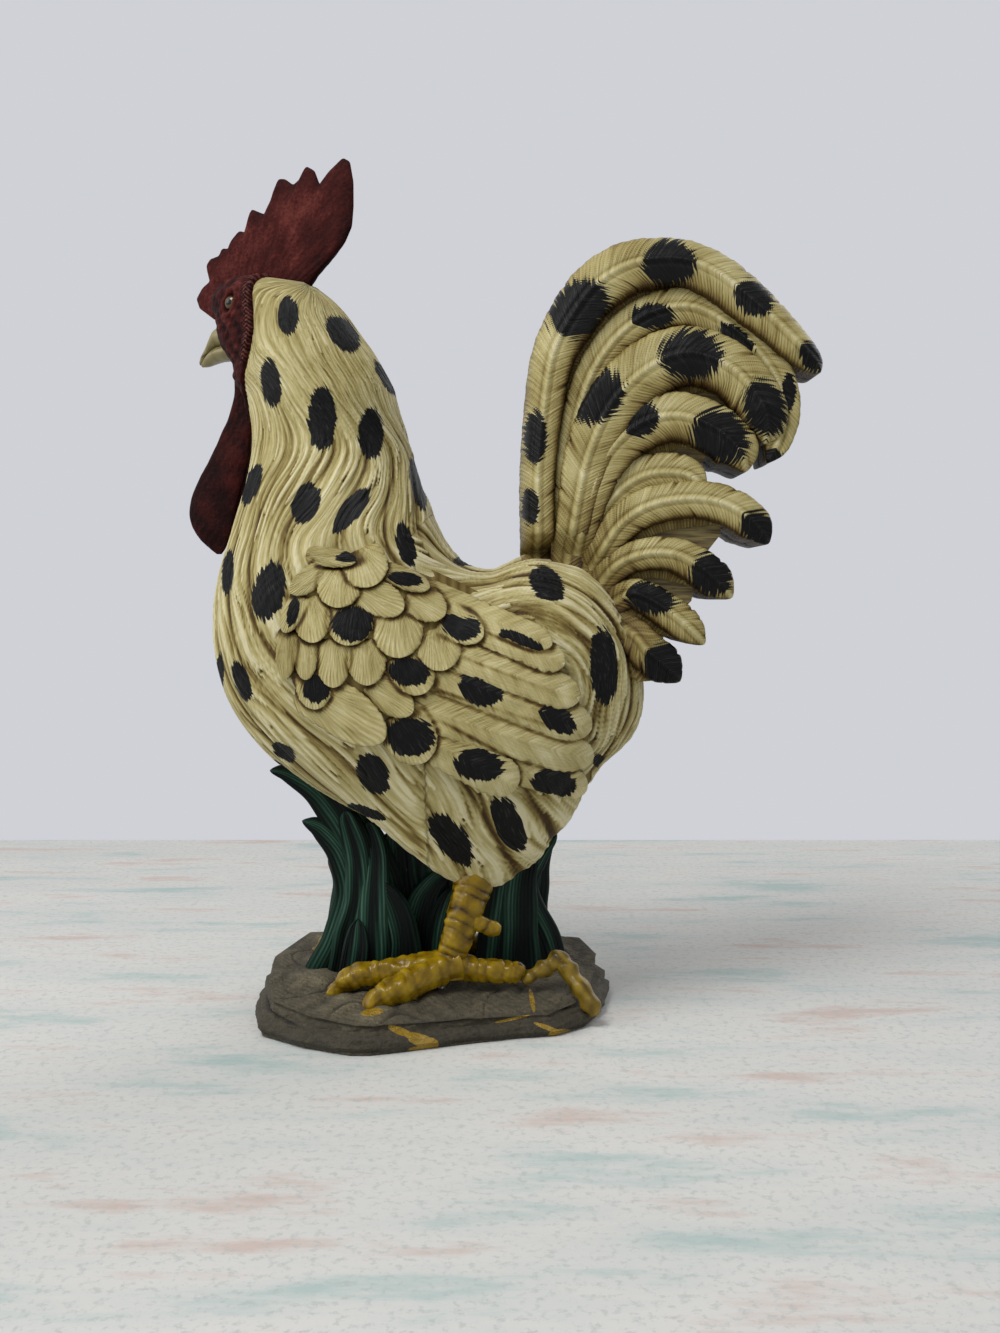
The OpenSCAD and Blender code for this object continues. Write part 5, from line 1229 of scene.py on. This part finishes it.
# Legs: cast with the feet, painted ochre. Plates ring the shank and the toes, and the claws are dark.
# A steel rod runs up inside each; the rods stay as CAD pieces.
toe_d, shank_d, leg_half_gap, leg_rise, right_foot_ahead = 11.0, 12.0, 22.0, 36.0, 14.0
foot_spread = 0.095 * base_depth
ankle = np.array([7.0, -leg_half_gap, base_h + toe_d * 0.8])
knee = ankle + (11.5, 0, leg_rise * 1.05)
toe_shares = [
    [(0.2, 0, 0.75, 0.62), (-0.7, -0.5, 0.50, 0.56), (-1.5, -0.95, 0.22, 0.56), (-2.1, -1.2, 0.0, 0.52),
     (-2.6, -1.4, -0.3, 0.36), (-2.85, -1.5, -0.6, 0.15)],
    [(0.2, 0, 0.8, 0.6), (-1.0, -0.1, 0.62, 0.53), (-2.2, -0.2, 0.52, 0.48), (-3.2, -0.3, 0.36, 0.47),
     (-3.8, -0.35, 0.02, 0.32), (-4.1, -0.38, -0.35, 0.13)],
    [(0.1, 0, 0.7, 0.55), (-0.6, 0.3, 0.5, 0.5), (-1.2, 0.5, 0.35, 0.42), (-1.75, 0.62, 0.1, 0.3),
     (-1.95, 0.65, -0.1, 0.15)],
    [(-0.3, 0, 0.7, 0.55), (0.9, 0, 0.55, 0.46), (1.8, 0.05, 0.46, 0.42), (2.35, 0.08, 0.42, 0.36),
     (2.55, 0.1, 0.35, 0.15)],
]
spur_shares = [(0.5, 0, 2.35, 0.36), (1.1, 0, 2.1, 0.34), (1.5, 0, 1.9, 0.26), (1.7, 0, 1.75, 0.12)]


def carried(rows, count, sides):
    """A smooth line through rows of x, y, z and radius: its points, radii and two directions across it, the
    angles round it and the way along it in mm."""
    *c, r = through(rows, np.linspace(0, len(rows) - 1, count))
    c = joined(*c)
    along = unit(np.gradient(c, axis=0))
    across = unit(np.cross(along, (0, 1, 0.05)))
    mm = np.concatenate([[0], np.cumsum(np.linalg.norm(np.diff(c, axis=0), axis=1))])
    c, r, across, up, mm = (v[:, None] for v in (c, r, across, np.cross(across, along), mm))
    return c, r, across, up, full_turn(sides)[None], mm


def ringed(c, across, up, t, radius):
    """Points round a carried line at a radius."""
    return c + (across * np.cos(t)[..., None] + up * np.sin(t)[..., None]) * radius[..., None]


def plated(rows, count, pitch, seed, toe=False):
    """A limb of the foot: rounded plates as long as the pitch ring it, with a cut between them that painted shade
    darkens, less on a toe, whose end has a dark claw."""
    c, r, across, up, t, mm = carried(rows, count, 48)
    end = np.maximum(closing(mm - mm[-1], 1.5, 1.501), 0.05)
    wander = 1.1 * np.sin(mm * 0.55 + seed) + 0.7 * np.cos(t + seed + mm / 9) + 0.4 * np.cos(3 * t + seed)
    plate = np.abs(np.sin(np.pi * (mm + wander) / pitch)) ** 0.7
    shown = 0.75 + 0.25 * np.sin(mm * 0.37 + 2 * t + seed)
    radius = r * 0.93 + 0.55 * plate * shown - 0.4
    p = ringed(c, across, up, t, radius * end)
    bump = 0.4 * ripple(p, 6.5, seed) + 0.10 * ripple(p, 2.2, seed + 9)
    # Painted shade darkens the cuts between plates, less on a toe, and a painted highlight lightens the bumps; the
    # dark claw is its own paint.
    hollow = 0.55 * ((1 - plate) * (0.55 if toe else 1)) ** 1.6 * shown + 0.18 - 0.4 * bump
    hollow = hollow + 0.9 * toe * eased((mm - mm[-1] + 3.5) / 1.2) * (np.sin(t) > -0.4)
    return {"points": ringed(c, across, up, t, (radius + bump) * end), "hollow": np.clip(hollow, 0, 1.4)}


def foot_rows(rows):
    """Rows in shares of the toe's thickness and of the foot's spread, turned into millimetres from the ankle."""
    return np.array(rows) * (toe_d, foot_spread, toe_d, toe_d) + (ankle[0], ankle[1], base_h, 0)


def leg_shells():
    """Shank, toes and spur."""
    shank = [(*(ankle - (0, 0, toe_d / 2)), shank_d * 0.55), (*ankle, shank_d * 0.5)]
    for u in (0.35, 0.7, 0.93):
        shank.append((*(ankle + (knee - ankle) * u + (0, 8.0 * u**2.5, 0)), shank_d / 2 * (1 + 0.42 * u)))
    toes = [plated(foot_rows(rows), 110, 4.6, 52 + k, True) for k, rows in enumerate(toe_shares)]
    return [plated(shank, 130, 4.3, 51), *toes, plated(foot_rows(spur_shares), 50, 9.0, 58)]


ochre = [(0.30, "9a7d0c"), (0.62, "745a07"), (1.0, "2a1d03")]
leg_paint = clouded_paint("leg_paint", 260.0, 0.6, ochre, 0.22, 0.28, (0.4, 0.0008))
left = leg_shells()
right = [dict(shell, points=shell["points"] * (1, -1, 1) - (right_foot_ahead, 0, 0)) for shell in left]
for name, shells in (("left_leg", left), ("right_leg", right)):
    dress(name, leg_paint, "leg_paint", *shells)

steel = Paint("steel")
scuffs = steel.between(steel.noise(700.0, 2), 0.0, 1.0, 0.45, 0.25)
repaint(steel.done(tone("a9abad"), scuffs, metallic=1.0), "left_leg_rod", "right_leg_rod")


# Yellow root: a knobbly strand glued over the rear edge of the rock, glossy ochre.
root_at = np.array([0.35 * base_len, -0.12 * base_depth, base_h, 0])
root_shares = [
    (-1.35, -0.6, 0.1, 0.2), (-0.7, -0.45, 0.42, 0.28), (-0.05, -0.2, 0.72, 0.36), (0.25, -0.45, 0.4, 0.36),
    (0.62, -0.75, -0.05, 0.36), (0.98, -1.0, -0.6, 0.34), (1.12, -1.1, -0.95, 0.2),
]
c, r, across, up, t, mm = carried(np.array(root_shares) * toe_d + root_at, 160, 48)
r = r * (0.93 + 0.1 * np.sin(mm * 0.9))
r = r + 0.5 * ripple(c + across * r[..., None] * np.cos(t)[..., None], 6, 81)
p = ringed(c, across, up, t, r)
dull_ochre = [(0.30, "8f7728"), (0.62, "735d19"), (1.0, "3c2f0d")]
root_paint = clouded_paint("root_paint", 260.0, 0.6, dull_ochre, 0.28, 0.28, (0.4, 0.0008))
strand = {"points": p, "hollow": 0.3 + 0.25 * ripple(p, 5, 82)}
dress("root", root_paint, "ochre_paint", strand, replaced="yellow_root")


# Leaves: three clumps of long fluted blades glued between rock and body, dark bluish green with rubbed
# grey-green streaks along them; painted shade makes them near black low down between the blades and in the
# flutes, and a painted highlight makes the raised flutes paler. Each clump has its foot, in shares of the rock's
# length and depth, and its blades' middle lines in shares of clump_h with half widths in shares.
clump_h, leaf_half_w, leaf_t = 78.0, 6.5, 6.0
clumps = {
    "front_leaf_clump": ((-0.22, 0.026), [
        [(0.02, 0, -0.08, 1.6), (0.04, 0, 0.15, 1.3), (0.05, 0, 0.38, 1.15), (-0.03, 0, 0.66, 1.1),
         (-0.18, 0, 0.88, 0.9), (-0.33, 0, 0.98, 0.55), (-0.43, 0, 1.0, 0.22)],
        [(-0.18, -0.02, -0.08, 1.3), (-0.09, -0.02, 0.15, 1.0), (-0.03, 0, 0.38, 0.95), (-0.07, 0, 0.57, 0.9),
         (-0.17, 0, 0.70, 0.65), (-0.27, 0, 0.745, 0.22)],
        [(-0.05, -0.07, -0.08, 1.2), (-0.02, -0.07, 0.15, 1.1), (0.03, -0.06, 0.38, 1.0),
         (0.02, -0.04, 0.60, 0.95), (-0.05, -0.02, 0.80, 0.6)],
        [(0.09, -0.09, -0.08, 1.3), (0.10, -0.09, 0.15, 1.2), (0.10, -0.07, 0.38, 1.0),
         (0.10, -0.04, 0.58, 0.8), (0.06, -0.02, 0.74, 0.5)],
        [(0.23, -0.08, -0.08, 1.2), (0.235, -0.08, 0.15, 1.15), (0.18, -0.08, 0.34, 0.95),
         (0.10, -0.07, 0.46, 0.4)],
        [(-0.02, -0.14, -0.08, 0.8), (0.01, -0.13, 0.12, 0.8), (0.02, -0.11, 0.27, 0.35)],
        [(0.12, 0.10, -0.08, 1.9), (0.12, 0.10, 0.2, 1.7), (0.10, 0.08, 0.45, 1.5), (-0.02, 0.05, 0.72, 1.2),
         (-0.14, 0.03, 0.90, 0.5)],
        [(-0.14, 0.09, -0.08, 1.2), (-0.08, 0.10, 0.2, 1.0), (-0.06, 0.11, 0.40, 0.9),
         (-0.14, 0.13, 0.56, 0.4)],
    ]),
    "middle_leaf_clump": ((-0.02, 0.052), [
        [(-0.06, 0, -0.08, 1.0), (-0.05, 0, 0.15, 1.0), (-0.02, 0, 0.33, 0.9), (0.05, 0, 0.44, 0.6),
         (0.12, 0, 0.48, 0.25)],
        [(0.05, -0.03, -0.08, 1.0), (0.06, -0.03, 0.15, 0.95), (0.09, -0.02, 0.30, 0.7),
         (0.13, -0.01, 0.40, 0.3)],
        [(0.0, 0.07, -0.08, 2.1), (-0.02, 0.07, 0.2, 2.1), (-0.04, 0.07, 0.42, 1.9), (-0.03, 0.06, 0.60, 1.3)],
        [(-0.10, 0.06, -0.08, 1.4), (-0.12, 0.06, 0.2, 1.4), (-0.15, 0.06, 0.45, 1.3),
         (-0.17, 0.05, 0.68, 0.9)],
    ]),
    "rear_leaf_clump": ((0.27, 0.052), [
        [(0.13, -0.02, -0.08, 1.0), (0.07, -0.01, 0.15, 0.95), (-0.03, 0, 0.38, 0.85), (0.02, 0, 0.55, 0.8),
         (0.13, 0.02, 0.68, 0.35)],
        [(-0.04, -0.06, -0.08, 1.2), (-0.05, -0.05, 0.2, 1.1), (-0.05, -0.03, 0.45, 1.0), (0.0, 0, 0.66, 0.7)],
        [(-0.19, -0.03, -0.08, 1.2), (-0.17, -0.03, 0.2, 1.1), (-0.14, -0.02, 0.42, 1.0),
         (-0.10, 0, 0.60, 0.7)],
        [(0.0, 0.09, -0.08, 1.5), (-0.02, 0.08, 0.2, 1.4), (0.0, 0.06, 0.45, 1.2), (0.06, 0.05, 0.68, 0.8)],
    ]),
}


def leaf(foot, rows, seed):
    """A blade carried along its middle line: wide in the plane of the picture, with broad and fine flutes along
    both faces. It winds a little out of the plane, and its tip is rounded off."""
    rows = np.array(rows) * (clump_h, clump_h, clump_h, leaf_half_w) + (*foot, 0)
    c, r, _, _, t, mm = carried(rows, 84, 100)
    along = np.gradient(c[:, 0], axis=0)
    along = along / np.hypot(along[:, 0], along[:, 2])[:, None]
    across = joined(-along[:, 2], 0, along[:, 0])[:, None]
    end = closing(mm - mm[-1], 4, 4.001)
    q = np.cos(t)
    broad = np.sin(q * (5 + 2 * np.sin(seed)) + mm / 21 + seed) * (1 - q**8)
    fine = np.sin(q * 30 + 2.2 * np.sin(mm / 17 + seed) + 2 * broad) * (1 - q**6)
    thick = leaf_t / 2 * np.minimum(1, r / leaf_half_w + 0.2) * np.maximum(end, 0.08)
    flutes = 0.30 * (0.75 * broad + 0.45 * fine) * end
    side = np.sin(t) * thick * (0.62 + 0.38 * q * q) + np.sign(np.sin(t)) * flutes
    w = r * (1 + 0.03 * np.sin(mm / 3.1 + seed)) * np.maximum(end, 0.06)
    p = c + across * (w * q)[..., None]
    p[..., 1] += side + 0.5 * np.sin(mm / 15 + 2 * q + seed)
    # Painted shade darkens the low parts of the flutes and the first 25 mm of each blade; a painted highlight
    # makes the raised flutes paler. The blade also darkens a little towards its tip.
    hollow = 0.45 - 0.35 * broad - 0.22 * fine + 0.3 * clamp(1 - mm / 25) + 0.15 * clamp(mm / mm[-1])
    return {"points": p, "hollow": clamp(hollow), "streak": joined(w * q, mm)}


green = Paint("green_paint")
rubbed = green.noise((90, 7, 1), 3, uv="streak")
depth = green.summed(green.held("hollow"), (rubbed, 0.42))
colour = green.ramp(depth, (0.19, "4d6a5b"), (0.39, "2a4b3d"), (0.65, "153226"), (0.91, "030c08"))
leaf_paint = green.done(colour, 0.5, 0.15, bumps=[(rubbed, 0.4, 0.0008)])
for name, (foot, blades) in clumps.items():
    foot = (foot[0] * base_len, foot[1] * base_depth, base_h)
    leaves = [leaf(foot, rows, k * 1.9 + len(name)) for k, rows in enumerate(blades)]
    dress(name, leaf_paint, "leaf_paint", *leaves)
